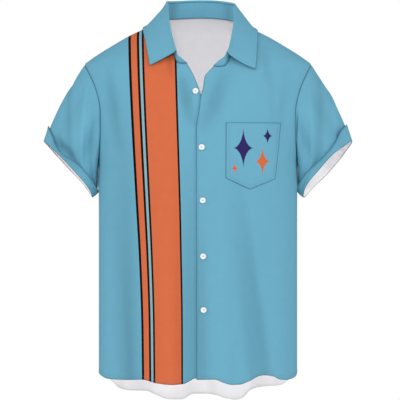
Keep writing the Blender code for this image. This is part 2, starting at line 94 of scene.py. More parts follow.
def table(columns, rows):
    """A small table with named columns: millimetres in, metres out, but for _deg and _share."""
    named = zip(columns.split(), np.array(rows, float).T)
    return {
        name: values if name.endswith(("_deg", "_share")) else values * MM for name, values in named
    }


# Level sections of the body, from the shoulder line down.
SECTIONS = table("z half_width front back", [
    (30, 30, 2, 50), (22.5, 58, 6, 65), (14, 80, 18, 76), (1, 110, 35, 88), (-13.5, 140, 48, 96),
    (-31, 170, 61, 105), (-49.5, 200, 75, 111), (-60, 215, 83, 114), (-70, 226.8, 90, 117),
    (-90, 229, 99, 121), (-114, 227, 107, 125), (-140, 222, 112, 127), (-164, 217, 116, 129),
    (-200, 210, 120, 129), (-240, 203, 123, 127), (-262, 199.5, 124, 126), (-300, 198.6, 124, 123),
    (-400, 198.2, 121, 118), (-560, 198.2, 120, 120), (-760, 198.2, 122, 127),
])
ARMHOLE = table("z x", [
    (-70, 226.8), (-90, 216), (-114, 205), (-140, 197.2), (-164, 193.8),
    (-200, 193.4), (-240, 195.6), (-262, 199.5),
])
# The neck seam, and above each of its points the top edge of the collar stand.
NECK = "x z top_x top_y top_z"
NECK_RIGHT = table(NECK, [
    (-21.7, -71, -22.7, -92, -69.2), (-33.5, -70.2, -33.5, -93, -60),
    (-41.4, -67.4, -40.8, -93, -53.5), (-45.6, -59.8, -44.7, -88, -42.4),
    (-49.8, -45.5, -49.4, -76, -25), (-56.5, -25, -54.9, -58, -2.3),
    (-62.7, -2, -58.6, -36, 24.8), (-65, 19.8, -60, -2, 50),
])
NECK_LEFT = table(NECK, [
    (30.6, -76.2, 31.3, -94, -74.6), (41.4, -76.6, 42.3, -95, -64.4),
    (51.3, -75.5, 52, -95, -57), (58.6, -67, 60.1, -91, -44.6),
    (63.2, -54, 63.8, -80, -32.1), (68, -36, 67.7, -65, -11.6),
    (73, -12, 72.1, -43, 15.4), (75.5, 15.7, 72.6, -2, 49),
])
NECK_BACK = table("x z", [
    (-60.5, 21.6), (-48, 23.6), (-32, 25.3), (-14, 26.6), (5, 27),
    (24, 26.5), (42, 24.6), (57, 21.8), (69, 18.4),
])
BACK_STAND = (0, -2 * MM, 33.5 * MM)

EDGE_RIGHT = table("z x", [
    (-71, -21.7), (-88, -11.8), (-105, -3.9), (-121, 2), (-135, 6.9), (-160, 15), (-190, 22),
    (-690, 22),
])
EDGE_LEFT = table("z x", [
    (-76.2, 30.6), (-86, 21.7), (-97, 13), (-120, 9.8), (-137, 5.1), (-165, 2), (-197, -3.4),
    (-692, -3),
])
HEM_RIGHT = table("x z", [
    (-198.2, -684), (-193, -688), (-178, -694), (-150, -695), (-110, -693), (-84, -699),
    (-49, -702.6), (-29, -701), (-15.7, -695), (-5, -690), (22, -690),
])
HEM_LEFT = table("x z", [
    (-3, -692.8), (33, -692), (49, -698), (67, -702.6), (80, -702.4), (102, -695.8), (122, -687.8),
    (134, -685.4), (147, -687), (160, -694), (172, -695.5), (193, -691), (198.2, -684),
])
HEM_BACK = table("x z", [
    (-198.2, -684), (-174, -706), (-160, -721), (-140, -726.6), (-108, -728), (-88, -735.6),
    (-57, -747), (-33, -747), (-10, -735), (18, -735), (37, -738), (53, -744), (75, -747.6),
    (92, -742), (106, -728), (122, -721), (140, -718), (166, -715), (182, -703), (198.2, -684),
])

# Folds: a line down the panel, half width, height out of (+) or into (-) the cloth, and how much
# painted light (+) or painted shade (-) the cloth has there, as a multiple of the painted fold
# shade. The solids have the deepest ones too; the others are the cloth's alone.
FOLD = "x_top z_top x_low z_low width height shade_share"
FOLDS_FRONT = table(FOLD, [
    (-182, -60, -158, -258, 11, -5, -1.6),
    (-176, -330, -132, -980, 20, -11, -0.5),
    (-70, -260, -52, -1000, 24, 6, 0.2),
    (-34, -82, -12, -200, 12, -4, -2.0),
    (62, -64, 8, -220, 18, -6, -1.5),
    (-18, -210, -16, -1020, 15, -5, -1.4),
    (46, -330, 52, -1000, 18, 6, 0.2),
    (66, -260, 166, -1000, 19, -11, -0.7),
    (168, -300, 166, -1000, 20, 5, 0.2),
    (186, -70, 160, -250, 14, -5, -0.4),
    (-150, -110, -128, -1060, 20, -3, -1.5),
    # The next two rows paint light on the body's sides.
    (-194, -240, -190, -1060, 16, 2, 1.0),
    (195, -240, 192, -1060, 15, 1.5, 0.9),
    (-40, -150, -34, -1050, 10, -3, -0.4),
    (5, -330, 9, -1050, 13, -2, -1.5),
    (78, -265, 182, -1000, 11, -4, -0.9),
    (128, -14, 146, -130, 10, -3, -0.8),
    (148, -70, 150, -210, 9, -2, -0.3),
    # The next row paints the shadow under the right point of the collar.
    (-60, -42, -50, -104, 6, -2, -1.4),
])
# The back's folds carry painted shade and painted light in the same way.
FOLDS_BACK = table(FOLD, [
    (-126, -130, -104, -1080, 22, -9, -0.9),
    (-58, -260, -50, -1100, 24, 7, 0.3),
    (-6, -300, -12, -1080, 20, -7, -0.7),
    (60, -330, 74, -1100, 24, 7, 0.3),
    (128, -150, 116, -1060, 22, -9, -0.9),
    (-176, -90, -150, -330, 15, -5, -0.6),
    (178, -90, 150, -330, 15, -5, -0.6),
    (-164, -300, -152, -1040, 10, -3, -0.7),
    (92, -60, 66, -320, 12, -3, -0.7),
    (-84, -50, -62, -290, 12, -3, -0.6),
    (26, -420, 32, -1060, 9, -3, -0.6),
    (168, -340, 158, -1000, 9, -3, -0.5),
])

SLEEVE_OUTER = np.array((-306.5, 2, -222)) * MM
SLEEVE_INNER = np.array((-201.0, 2, -333)) * MM
SLEEVE_DEPTH = 43 * MM  # half of the sleeve's end, from front to back
SLEEVE_SWELL = 7 * MM  # how far its upper side rises between armhole and cuff
FOLD_RISE = 0.4  # share of the way down at which its folds reach their full height
BACK_DROP = {-1: 7 * MM, 1: 20 * MM}  # how much lower and further out the back of its end hangs
DROP_ACROSS, DROP_DOWN = 0.72, -0.69
# The painted shade (-) and painted light (+) of all folds together stay within these limits.
SHADE_LIMITS = -3.2, 1  # of the folds' shade, all together
# Folds round a sleeve, each with its painted light (+) or painted shade (-), as on the panels.
FOLD_ROUND = "armhole_deg cuff_deg width_deg height shade_share"
FOLDS_SLEEVE = table(FOLD_ROUND, [
    (48, 34, 15, -6, -0.3), (78, 70, 14, 5, 0), (112, 100, 15, -5, -0.2),
    (215, 228, 17, -6, -0.7), (262, 266, 15, 5, 0.3), (312, 322, 16, -6, -0.7),
])
# Those that the cloth alone has, for each sleeve.
SOFT_SLEEVE = {
    -1: table(FOLD_ROUND, [
        (-35, 98, 10, -3, -1.1), (34, 122, 8, 3, 0.5), (72, 160, 13, -2, -1.0),
        (300, 246, 9, -3, -0.7), (196, 204, 9, -2.5, -0.6), (338, 300, 9, 2.5, 0.3),
    ]),
    1: table(FOLD_ROUND, [
        (-3, 108, 13, -3, -1.2), (30, 128, 9, 2.5, 0.2), (-50, 60, 9, 2, 0.2),
        (290, 252, 9, -3, -0.7), (202, 196, 9, -2.5, -0.6), (332, 306, 9, 2.5, 0.3),
    ]),
}
SOFT_LOSS, SOFT_LOSS_FROM, SOFT_LOSS_LONG = 0.8, 0.8, 0.2  # how those flatten towards the cuff
# Under the arm the sleeve's end turns away from the body: how far, from which share of the way
# down, within how many degrees, and up to how much of the way beyond.
TUCK, TUCK_FROM, TUCK_SPREAD, TUCK_LIMIT = 11 * MM, 0.78, 45, 1.05
# The body's side swells out to the sleeve above the cuff, between these heights.
BULGE, BULGE_FROM, BULGE_TO = 1.5 * MM, -262 * MM, -324 * MM
BULGE_RISE, BULGE_FALL = 46 * MM, 12 * MM
# Hollows: their middle, round the sleeve and down it, their half length and half width there,
# their depth, and the painted shade that darkens them.
HOLLOW = "around_deg down_share long_deg wide_share height shade_share"
HOLLOW_RISE = 0.04  # share of the way down over which they set in
HOLLOWS_SLEEVE = {
    -1: table(HOLLOW, [(60, 0.885, 19, 0.055, -6, -3.0), (78, 0.86, 13, 0.045, -3, -1.8)]),
    1: table(HOLLOW, [(109, 0.055, 17, 0.035, -4, -3.2), (30, 0.84, 16, 0.05, -3, -0.6)]),
}
CUFF = "angle_deg width stand_off"
CUFFS = {
    -1: table(CUFF, [
        (0, 29, 3), (20, 24, 3.5), (40, 16.5, 5), (55, 12.5, 7), (69, 11, 8), (77, 13, 7),
        (88, 19, 6), (108, 27, 4.5), (130, 29, 3.4), (155, 28, 2.6), (180, 28, 2.2), (215, 26, 3),
        (270, 26, 5), (320, 28, 4), (360, 29, 3),
    ]),
    1: table(CUFF, [
        (0, 32, 3), (34, 28.5, 4), (58, 19, 5), (78, 15, 5), (88, 16.5, 5), (112, 27, 4),
        (137, 33, 3), (160, 33.5, 2.6), (180, 33, 2.2), (215, 28, 3), (270, 27, 5), (320, 30, 4),
        (360, 32, 3),
    ]),
}
CREASE_TOP, CREASE_LOW, CREASE_WIDTH = 94, 160, 2.6  # degrees: a crease down the left cuff
# The crease sinks that far into the cuff, and painted shade darkens the cloth along it.
CREASE_DEPTH, CREASE_SHADE = 1.0 * MM, 2.2
CUFF_LIFT = 1.1 * MM  # gap between sleeve and cuff at its lower edge
CUFF_OVERHANG = 1.5 * MM  # how far the cuff reaches past the sleeve

# Painted shade darkens the inside of the stand in its back corners, by how far they lie from its
# middle.
CORNER_MIDDLE, CORNER_FROM, CORNER_WIDTH = 6 * MM, 38 * MM, 22 * MM
CORNER_DEPTH, CORNER_SHADE = 30 * MM, -2.2

LEAF_FREE = 15  # columns of the stand that the leaf leaves free at each end
# How far the leaf stays upright below the roll, along it from the right point to the left.
LEAF_RISE = table("along_share rise_share", [
    (0, 0.05), (0.06, 0.04), (0.22, 0.10), (0.5, 0.28), (0.78, 0.10), (0.94, 0.06), (1, 0.12),
])
LEAF_BULGE = 0.08  # and how far it swells away from the neck there
LEAF_INSIDE = 1  # rows of the stand that its inner end reaches down
LEAF_RIGHT = table("x z", [
    (-94.5, -74.9), (-98.3, -53.4), (-103, -26.8), (-107, -1.6), (-104, 3.2),
])
LEAF_BACK = table("x z", [
    (-92, 7), (-75, 12), (-50, 16.5), (-22, 19), (5, 19.6), (32, 19), (58, 15.6), (82, 10), (99, 5),
])
LEAF_LEFT = table("x z", [
    (110, 0.6), (115.5, -5), (116.5, -30), (115.5, -56), (112.8, -82.3),
])

POCKET = table("x z", [
    (54.7, -188), (165.5, -188), (151.6, -299), (101.6, -319.5), (54.2, -297),
])
BUTTONS = table("x z", [
    (-5.0, -126), (7.3, -236.5), (9.4, -340.5), (10.4, -450.3), (11.4, -555.6),
])

# Half of a button's section, from the middle of its face over the rim to its back.
BUTTON_SECTION = table("radius height", [
    (0.35, 1.9), (1.0, 1.9), (2.2, 1.92), (3.2, 2.05), (4.0, 2.5), (4.7, 2.72), (5.25, 2.6),
    (5.6, 2.2), (5.7, 1.6), (5.6, 0.8), (5.3, 0.2), (4.8, 0), (0.35, 0),
])
BUTTON_LIFT = 0.8 * MM
BUTTON_COLUMNS = 72
BUTTON_FACE = 1.2 * MM  # the face is what lies above this height
HOLE_PLACE, HOLE_RADIUS, HOLE_DEPTH = 1.45 * MM, 0.62 * MM, 1.3 * MM
HOLE_SPOT = HOLE_PLACE * np.sqrt(0.5)  # from the button's middle, across and up
HOLE_SLOPE = 0.3 * HOLE_RADIUS  # width of a hole's rounded wall
BAR_HEIGHT, BAR_RADIUS = 2.0 * MM, 0.42 * MM  # the threads that cross from hole to hole
BUTTONHOLE_LENGTH, BUTTONHOLE_HALF, BUTTONHOLE_LIFT = 14 * MM, 0.85 * MM, 0.1 * MM
BUTTONHOLE_STEPS = 29
BUTTONHOLE_STITCH = 0.42 * MM, 1.5 * MM, 0.2 * MM  # pitch, length and radius

# A stitch is a bead: rings of points, at shares of its length and of its radius.
BEAD_SIDES = 6
BEAD = table("along_share radius_share", [
    (-0.5, 0.3), (-0.4, 0.8), (-0.15, 1), (0.15, 1), (0.4, 0.8), (0.5, 0.3),
])
BEAD_POINTS = len(BEAD["along_share"]) * BEAD_SIDES
BEAD_FLATNESS, BEAD_RISE = 0.8, 0.3
# From the edge to the rows of stitches.
CUFF_STITCH, LEAF_STITCH, STAND_STITCH = 3.5 * MM, 5.5 * MM, 2.2 * MM
POCKET_STITCH = 1.6 * MM, 6.4 * MM
STITCH_CLEAR = 0.97  # how near a row comes to other edges, as a share of its own distance
HEM_STEP = 1.0 * MM  # width of the step at a hem's inner edge

# The cloth's looks: how far from a seam and from an edge its line of painted shade starts to fade
# and ends, and the ranges of the mottling's brightness and of the weave's roughness.
SEAM_LINE, EDGE_LINE = (0.6 * MM, 1.7 * MM), (0.5 * MM, 1.6 * MM)
# Brightness of the painted shade line along a free edge, outside and inside the shirt.
EDGE_SHADE, INSIDE_EDGE_SHADE = 0.6, 0.9
MOTTLE, CLOTH_ROUGHNESS, BUTTON_ROUGHNESS = (0.99, 1.01), (0.72, 0.86), (0.22, 0.36)
NOISE_MIDDLE = 0.3, 0.7  # the part of a noise's values that is spread over such a range

# Four-pointed stars printed on the pocket.
STARS = table("x z half_width half_height", [
    (89, -238, 20, 41), (127, -264, 15, 29), (137, -214, 10, 17), (72, -278, 7, 11),
])
STAR_COLOURS = ("navy", "orange", "navy", "orange")
STAR_POWER = 0.58  # of the distances across and up: the lower, the thinner its points

# The stripes' place down the right front: the middle of the first black line, and from there to
# the middle of the last one.
STRIPES = table("z x width", [
    (-22.5, -136.5, 91.1), (-104, -133.0, 89.7), (-222.4, -127.1, 87.5), (-340, -120.5, 84.5),
    (-457.6, -113.9, 80.4), (-575.2, -109.6, 78.0), (-688.9, -108.0, 76.8),
])
# What is drawn between the two: where each band ends, as a share of the width.
STRIPE_BANDS = (
    (-0.027, "blue"), (0.027, "black"), (0.160, "orange"), (0.211, "black"),
    (0.270, "light_blue"), (0.314, "black"), (0.979, "orange"), (1.021, "black"), (9, "blue"),
)
STRIPE_LOW, STRIPE_HIGH = -0.1, 1.1  # shares of the width between which they are drawn

# The stage: what the camera looks at, the floor's rings, and the lights with their places, their
# sizes (0 for a point of light), and which power they have, times what.
VIEW_X = 4 * MM
SENSOR = 36  # width of the camera's sensor in millimetres
FLOOR_RADII, FLOOR_COLUMNS = (0.5, 1.0, 2.0, 4.0), 96
POINT_RADIUS = 0.03
LIGHTS = (
    ("front_light", (-0.3, -5.6, 0.9), 1.0, "front_power", 1),
    ("body_light", (0, 0, -0.58), 0, "inner_power", 1),
    ("right_sleeve_light", (-0.225, 0, -0.2), 0, "inner_power", 0.12),
    ("left_sleeve_light", (0.225, 0, -0.2), 0, "inner_power", 0.12),
    ("left_light", (-4.1, -2.6, 1.8), 2.4, "side_power", 1),
    ("right_light", (4.1, -2.6, 1.4), 2.4, "side_power", 1),
)


# ---------------------------------------------------------------- numbers and curves


def smooth(at, xs, ys):
    """The value at `at` of a curve through the rows (xs, ys), smooth and never past them."""
    order = np.argsort(xs)
    xs, ys = xs[order], ys[order]
    step = np.diff(xs)
    rise = np.diff(ys) / step
    same_way = rise[:-1] * rise[1:] > 0
    total = np.where(same_way, rise[:-1] + rise[1:], 1)
    inside = np.where(same_way, 2 * rise[:-1] * rise[1:] / total, 0)
    slope = np.concatenate([rise[:1], inside, rise[-1:]])
    i = np.clip(np.searchsorted(xs, at) - 1, 0, len(step) - 1)
    t = np.clip((at - xs[i]) / step[i], 0, 1)
    start = (1 + 2 * t) * (1 - t) ** 2 * ys[i] + t * (1 - t) ** 2 * step[i] * slope[i]
    end = t * t * (3 - 2 * t) * ys[i + 1] + t * t * (t - 1) * step[i] * slope[i + 1]
    return start + end


def finer(rows):
    """FINE steps for each one between the rows, on smooth curves through them."""
    index = np.arange(len(rows), dtype=float)
    at = np.linspace(0, len(rows) - 1, (len(rows) - 1) * FINE + 1)
    return np.stack([smooth(at, index, column) for column in np.asarray(rows, float).T], -1)


def ease(t):
    """0 to 1 with level ends."""
    t = np.clip(t, 0, 1)
    return t * t * (3 - 2 * t)


def unit(vectors):
    """The same directions, one long."""
    return vectors / np.linalg.norm(vectors, axis=-1, keepdims=True)


# ---------------------------------------------------------------- the body's surface


def folds_at(x, z, folds):
    """Height and painted shade of the folds at x, z: a bell across each line, rising and dying
    along it.
    """
    found = np.zeros((2, *np.broadcast(x, z).shape))
    for x_top, z_top, x_low, z_low, width, *sizes in zip(*folds.values()):
        along = (z - z_top) / (z_low - z_top)
        centre = x_top + (x_low - x_top) * along
        along = np.clip(along, 0, 1)
        bell = np.sin(np.pi * along) * np.exp(-(((x - centre) / width) ** 2))
        found += np.multiply.outer(sizes, bell)
    return found


def section(z, name, edge):
    """A size of the body's section at z: the table's own where edge is 1, near the side seams and
    on the shoulders, and its mean over the heights close by where edge is 0."""
    exact = smooth(z, SECTIONS["z"], SECTIONS[name])
    shifts = np.linspace(-2, 2, 9) * SECTION_BLUR
    weights = np.exp(-((shifts / SECTION_BLUR) ** 2))
    values = [smooth(z + shift, SECTIONS["z"], SECTIONS[name]) for shift in shifts]
    mean = sum(weight * value for weight, value in zip(weights, values)) / weights.sum()
    return mean * (1 - edge) + exact * edge


def body(x, z, side, drop=0.0):
    """Points, outward directions and the folds' painted shade on the body; side is -1 in front, 1
    behind.

    A point lies where |x / half width| and |y / depth|, each to the power ROUNDNESS, add up to 1,
    and then moves out by the folds' height and the bulge under the arm, and in by drop.
    """
    across = np.clip(np.abs(x) / smooth(z, SECTIONS["z"], SECTIONS["half_width"]), 0, 1)
    edge = 1 - (1 - across ** EDGE_SHARP) * ease((BLUR_TOP - z) / BLUR_FADE)
    half = section(z, "half_width", edge)
    depth = section(z, "front" if side < 0 else "back", edge)
    across = np.clip(np.abs(x) / half, 0, 1)
    out = (1 - across ** ROUNDNESS) ** (1 / ROUNDNESS)
    flat = np.zeros_like(out)
    normal = np.sign(x) * across ** (ROUNDNESS - 1) / half, side * out ** (ROUNDNESS - 1) / depth
    normal = unit(np.stack([*normal, flat], -1))
    at_side = across ** SIDE_FADE
    height, shade = folds_at(x, z, FOLDS_FRONT if side < 0 else FOLDS_BACK) * (1 - at_side)
    bulge = BULGE * ease((BULGE_FROM - z) / BULGE_RISE) * ease((z - BULGE_TO) / BULGE_FALL)
    height = height + bulge * at_side
    points = np.stack([x, side * out * depth, z], -1) + normal * (height - drop)[..., None]
    return points, normal, shade


def patch(top, bottom, inner, outer):
    """x, z of a grid between four edges: level rows that bend to meet each edge near it."""
    s = ((bottom[:, 0] - bottom[0, 0]) / (bottom[-1, 0] - bottom[0, 0]))[None, :, None]
    t = ((outer[:, 1] - outer[0, 1]) / (outer[-1, 1] - outer[0, 1]))[:, None, None]
    first, last = inner[None, :1], outer[None, :1]
    first = first + (inner[None, -1:] - first) * t
    last = last + (outer[None, -1:] - last) * t
    level = first + (last - first) * s
    level = level + (inner[:, None] - first) * (1 - s) ** INNER_FADE
    level = level + (outer[:, None] - last) * s ** OUTER_FADE
    return level + (top - level[0]) * (1 - t) ** TOP_FADE + (bottom - level[-1]) * t ** BOTTOM_FADE


def outer_edge(side):
    """x, z down a panel's armhole and side seam, on the wearer's right (-1) or left (1)."""
    turn = np.arange(ARMHOLE_STEPS + 1) / ARMHOLE_STEPS * np.pi
    top = ARMHOLE["z"][0]
    z_arm = top + (UNDERARM_Z - top) * (1 - np.cos(turn)) / 2
    z_side = np.linspace(UNDERARM_Z, HEM_RIGHT["z"][0], SIDE_STEPS + 1)[1:]
    x_arm = smooth(z_arm, ARMHOLE["z"], ARMHOLE["x"])
    x_side = smooth(z_side, SECTIONS["z"], SECTIONS["half_width"])
    return np.stack([side * np.concatenate([x_arm, x_side]), np.concatenate([z_arm, z_side])], -1)


def shoulder_edge(x_neck):
    """x, z along a shoulder seam, from the neck point x_neck to the shoulder point."""
    x = np.linspace(abs(x_neck), ARMHOLE["x"][0], SHOULDER_STEPS + 1)
    rows = slice(SHOULDER_SECTIONS)
    z = smooth(x, SECTIONS["half_width"][rows], SECTIONS["z"][rows])
    half = smooth(z, SECTIONS["z"], SECTIONS["half_width"])
    return np.stack([np.sign(x_neck) * half, z], -1)


def lap_drop(x, z):
    """How far the under front lies behind the upper one."""
    line = smooth(z, EDGE_LEFT["z"], EDGE_LEFT["x"])
    return LAP_DROP * ease((x - line + LAP_BLEND) / LAP_BLEND) * ease((LAP_START - z) / LAP_LENGTH)


def front_panel(neck, edge, hem, side, lapped_under):
    """A front between its neck and shoulder, hem, front edge, and armhole and side seam."""
    neck_rows = finer(np.stack([neck["x"], neck["z"]], -1))
    top = np.concatenate([neck_rows[:-1], shoulder_edge(neck["x"][-1])])
    outer = outer_edge(side)
    t = (outer[:, 1] - outer[0, 1]) / (outer[-1, 1] - outer[0, 1])
    z_hem = smooth(edge["x"][-1], hem["x"], hem["z"])
    z_edge = top[0, 1] + (z_hem - top[0, 1]) * t
    inner = np.stack([smooth(z_edge, edge["z"], edge["x"]), z_edge], -1)
    turn = np.linspace(0, np.pi / 2, len(top))
    x_hem = inner[-1, 0] + (outer[-1, 0] - inner[-1, 0]) * np.sin(turn) ** (2 / ROUNDNESS)
    bottom = np.stack([x_hem, smooth(x_hem, hem["x"], hem["z"])], -1)
    x, z = np.moveaxis(patch(top, bottom, inner, outer), -1, 0)
    drop = lap_drop(x, z) if lapped_under else np.zeros_like(x)
    points, _, folds = body(x, z, -1, drop)
    return points, folds


def neck_back_rows():
    """x, z across the back of the neck, from one shoulder seam to the other."""
    ends = [(neck["x"][-1:], neck["z"][-1:]) for neck in (NECK_RIGHT, NECK_LEFT)]
    x = np.concatenate([ends[0][0], NECK_BACK["x"], ends[1][0]])
    z = np.concatenate([ends[0][1], NECK_BACK["z"], ends[1][1]])
    return finer(np.stack([x, z], -1))


def back_panel():
    """The back, from the wearer's right to the left."""
    right, left = shoulder_edge(NECK_RIGHT["x"][-1])[::-1], shoulder_edge(NECK_LEFT["x"][-1])
    top = np.concatenate([right, neck_back_rows()[1:-1], left])
    turn = np.linspace(-np.pi / 2, np.pi / 2, len(top))
    x_hem = SECTIONS["half_width"][-1] * np.sign(turn) * np.abs(np.sin(turn)) ** (2 / ROUNDNESS)
    bottom = np.stack([x_hem, smooth(x_hem, HEM_BACK["x"], HEM_BACK["z"])], -1)
    x, z = np.moveaxis(patch(top, bottom, outer_edge(-1), outer_edge(1)), -1, 0)
    points, _, folds = body(x, z, 1)
    return points, folds


# ---------------------------------------------------------------- sleeves, cuffs and collar


def armhole_ring(front, back_side):
    """The armhole seam as a ring: down the front from the shoulder point, and up the back."""
    return np.concatenate([front[:ARMHOLE_STEPS], back_side[ARMHOLE_STEPS:0:-1]])


def sleeve_surface(ring, side, down, soft=True):
    """Straight lines from the armhole's points to an ellipse at the cuff, swelled and folded.

    down runs from 0 at the armhole to 1 at the cuff, one row for each step; soft adds the folds
    that the cloth alone has. Returns the points and the folds' painted shade.
    """
    angle = np.arange(len(ring)) / len(ring) * 2 * np.pi
    mirror = np.array((-side, 1, 1))
    outer, inner = SLEEVE_OUTER * mirror, SLEEVE_INNER * mirror
    axis = (outer - inner) / 2
    across = np.array((0, -SLEEVE_DEPTH, 0))
    across = across - np.array((side * DROP_ACROSS, 0, DROP_DOWN)) * BACK_DROP[side] / 2
    end = (outer + inner) / 2 + np.cos(angle)[:, None] * axis + np.sin(angle)[:, None] * across
    down = np.asarray(down)[..., None]
    rows = ring + (end - ring) * down
    middle = rows.mean(axis=-2, keepdims=True)
    around, down = np.degrees(angle), down[..., 0]
    swell = SLEEVE_SWELL * np.sin(np.pi * np.clip(down, 0, 1)) * (1 + np.cos(angle)) / 2
    height, shade = sleeve_folds(around, down, side, soft)
    tuck = TUCK * np.clip((down - TUCK_FROM) / (1 - TUCK_FROM), 0, TUCK_LIMIT) ** 2
    tuck = tuck * np.exp(-(((around - 180) / TUCK_SPREAD) ** 2))
    rows = rows + unit(rows - middle) * (swell + height)[..., None]
    return rows + tuck[..., None] * (side, 0, 0), shade


def sleeve_folds(around, down, side, soft):
    """Height and painted shade of the sleeve's folds and hollows, none of them at the armhole seam.
    """
    found = np.zeros((2, *np.broadcast(around, down).shape))

    def add(centre, width, share, sizes):
        away = np.abs((around - centre + 180) % 360 - 180) / width
        found[:] += np.multiply.outer(sizes, np.exp(-(away ** 2)) * share)

    begins = ease(down / FOLD_RISE)
    fades = 1 - SOFT_LOSS * ease((down - SOFT_LOSS_FROM) / SOFT_LOSS_LONG)
    for folds, share in ((FOLDS_SLEEVE, begins), (SOFT_SLEEVE[side], begins * fades * soft)):
        for at_armhole, at_cuff, width, *sizes in zip(*folds.values()):
            add(at_armhole + (at_cuff - at_armhole) * down, width, share, sizes)
    for centre, at, long, wide, *sizes in zip(*HOLLOWS_SLEEVE[side].values()):
        share = np.exp(-(((down - at) / wide) ** 2)) * ease(down / HOLLOW_RISE) * soft
        add(centre, long, share, sizes)
    return found


def cuff_surface(ring, side):
    """The cuff's outer points: the sleeve's points moved out, from its upper edge to the lower."""
    count = len(ring)
    angle = np.arange(count) / count * 360
    cuff = CUFFS[side]
    width = smooth(angle, cuff["angle_deg"], cuff["width"])
    stand_off = smooth(angle, cuff["angle_deg"], cuff["stand_off"])
    length = np.linalg.norm(sleeve_surface(ring, side, np.ones(1))[0] - ring, axis=-1)[0]
    up = np.linspace(1, 0, CUFF_STEPS + 1)[:, None]
    down = 1 + (CUFF_OVERHANG - up * (width + CUFF_OVERHANG)) / length
    points, shade = sleeve_surface(ring, side, down, soft=False)
    lift = CUFF_LIFT + WALL + (stand_off - CUFF_LIFT) * up ** 2
    if side > 0:
        crease = angle - CREASE_TOP - (CREASE_LOW - CREASE_TOP) * (1 - up)
        crease = np.exp(-((crease / CREASE_WIDTH) ** 2))
        # Painted shade along the crease.
        lift, shade = lift - CREASE_DEPTH * crease, shade - CREASE_SHADE * crease
    return points + normals(points, True, -side) * lift[..., None], shade


def stand_surface(seam):
    """The collar stand from the neck seam straight up to its top edge."""
    right = np.stack([NECK_RIGHT["top_x"], NECK_RIGHT["top_y"], NECK_RIGHT["top_z"]], -1)
    left = np.stack([NECK_LEFT["top_x"], NECK_LEFT["top_y"], NECK_LEFT["top_z"]], -1)
    back = body(NECK_BACK["x"], NECK_BACK["z"], 1)[0] + BACK_STAND
    top = finer(np.concatenate([right, back, left[::-1]]))
    up = np.linspace(0, 1, STAND_STEPS + 1)[:, None, None]
    return seam + (top - seam) * up


def leaf_edge(count):
    """The leaf's outer edge, lifted off the body, in as many points as count."""
    edges = []
    for rows, side in (LEAF_RIGHT, -1), (LEAF_BACK, 1), (LEAF_LEFT, -1):
        points, normal, _ = body(rows["x"], rows["z"], side)
        edges.append(points + normal * LIFT_COLLAR)
    edge = finer(np.concatenate(edges))
    at = np.linspace(0, len(edge) - 1, count)
    return np.stack([np.interp(at, np.arange(len(edge)), column) for column in edge.T], -1)


def fall_surface(stand, out, cover):
    """The collar leaf: half a circle over the stand's top edge, then a parabola to its outer edge.

    out points away from the neck at each point of the stand's top edge; cover is what it lies on.
    """
    used = slice(LEAF_FREE, -LEAF_FREE)
    top, out = stand[-1, used], out[used]
    up = unit(stand[-1, used] - stand[-2, used])
    inside = stand[-1 - LEAF_INSIDE:-1, used] - out * WALL
    turn = np.linspace(np.pi, 0, ROLL_STEPS + 1)[:, None, None]
    centre = top + out * (ROLL - WALL) + up * ROLL_GAP
    roll = centre + ROLL * (np.cos(turn) * out + np.sin(turn) * up)
    edge = leaf_edge(top.shape[0])
    reach = np.linalg.norm(edge - roll[-1], axis=-1, keepdims=True)
    rise = smooth(np.linspace(0, 1, len(top)), *LEAF_RISE.values())[:, None]
    middle = (roll[-1] + edge) / 2
    control = middle + (roll[-1] - up * reach * 0.5 - middle) * rise * 2 + out * reach * LEAF_BULGE
    t = np.linspace(0, 1, LEAF_STEPS + 1)[1:, None, None]
    leaf = roll[-1] * (1 - t) ** 2 + control * 2 * t * (1 - t) + edge * t ** 2
    leaf = clear_of(leaf, cover, LIFT_COLLAR)
    return np.concatenate([inside, roll, leaf])


def clear_of(points, cover, lift):
    """Moves points out until each is at least lift above the panels in cover."""
    low, high = points.min(axis=(0, 1)) - NEARBY, points.max(axis=(0, 1)) + NEARBY
    under = np.concatenate([panel["grid"].reshape(-1, 3) for panel in cover])
    out = np.concatenate([panel["normal"].reshape(-1, 3) for panel in cover])
    near = ((under > low) & (under < high)).all(axis=-1)
    under, out = under[near], out[near]
    moved = []
    for row in points:
        nearest = np.linalg.norm(row[:, None] - under, axis=-1).argmin(axis=1)
        above = ((row - under[nearest]) * out[nearest]).sum(axis=-1, keepdims=True)
        moved.append(row + out[nearest] * np.maximum(lift - above, 0))
    return np.stack(moved)


def pocket_surface():
    """The pocket on the left front: straight sides, and a point at the bottom."""
    x, z = POCKET["x"], POCKET["z"]
    across = np.linspace(0, 1, POCKET_STEPS + 1)
    top = np.stack([x[0] + (x[1] - x[0]) * across, z[0] + (z[1] - z[0]) * across], -1)
    low_x = np.interp(across, (0, 0.5, 1), (x[4], x[3], x[2]))
    low_z = np.interp(across, (0, 0.5, 1), (z[4], z[3], z[2]))
    down = np.linspace(0, 1, POCKET_STEPS + 1)[:, None, None]
    grid = top + (np.stack([low_x, low_z], -1) - top) * down
    points, normal, folds = body(grid[..., 0], grid[..., 1], -1)
    return points + normal * LIFT_POCKET, folds


# ---------------------------------------------------------------- cloth


def normals(grid, closed, turned):
    """Unit normals of a grid of points by differences; closed grids run round along each row."""
    wide = np.concatenate([grid[:, -1:], grid, grid[:, :1]], 1) if closed else grid
    across = np.gradient(wide, axis=1)[:, 1:-1] if closed else np.gradient(wide, axis=1)
    down = np.gradient(grid, axis=0)
    return unit(np.cross(down, across)) * turned


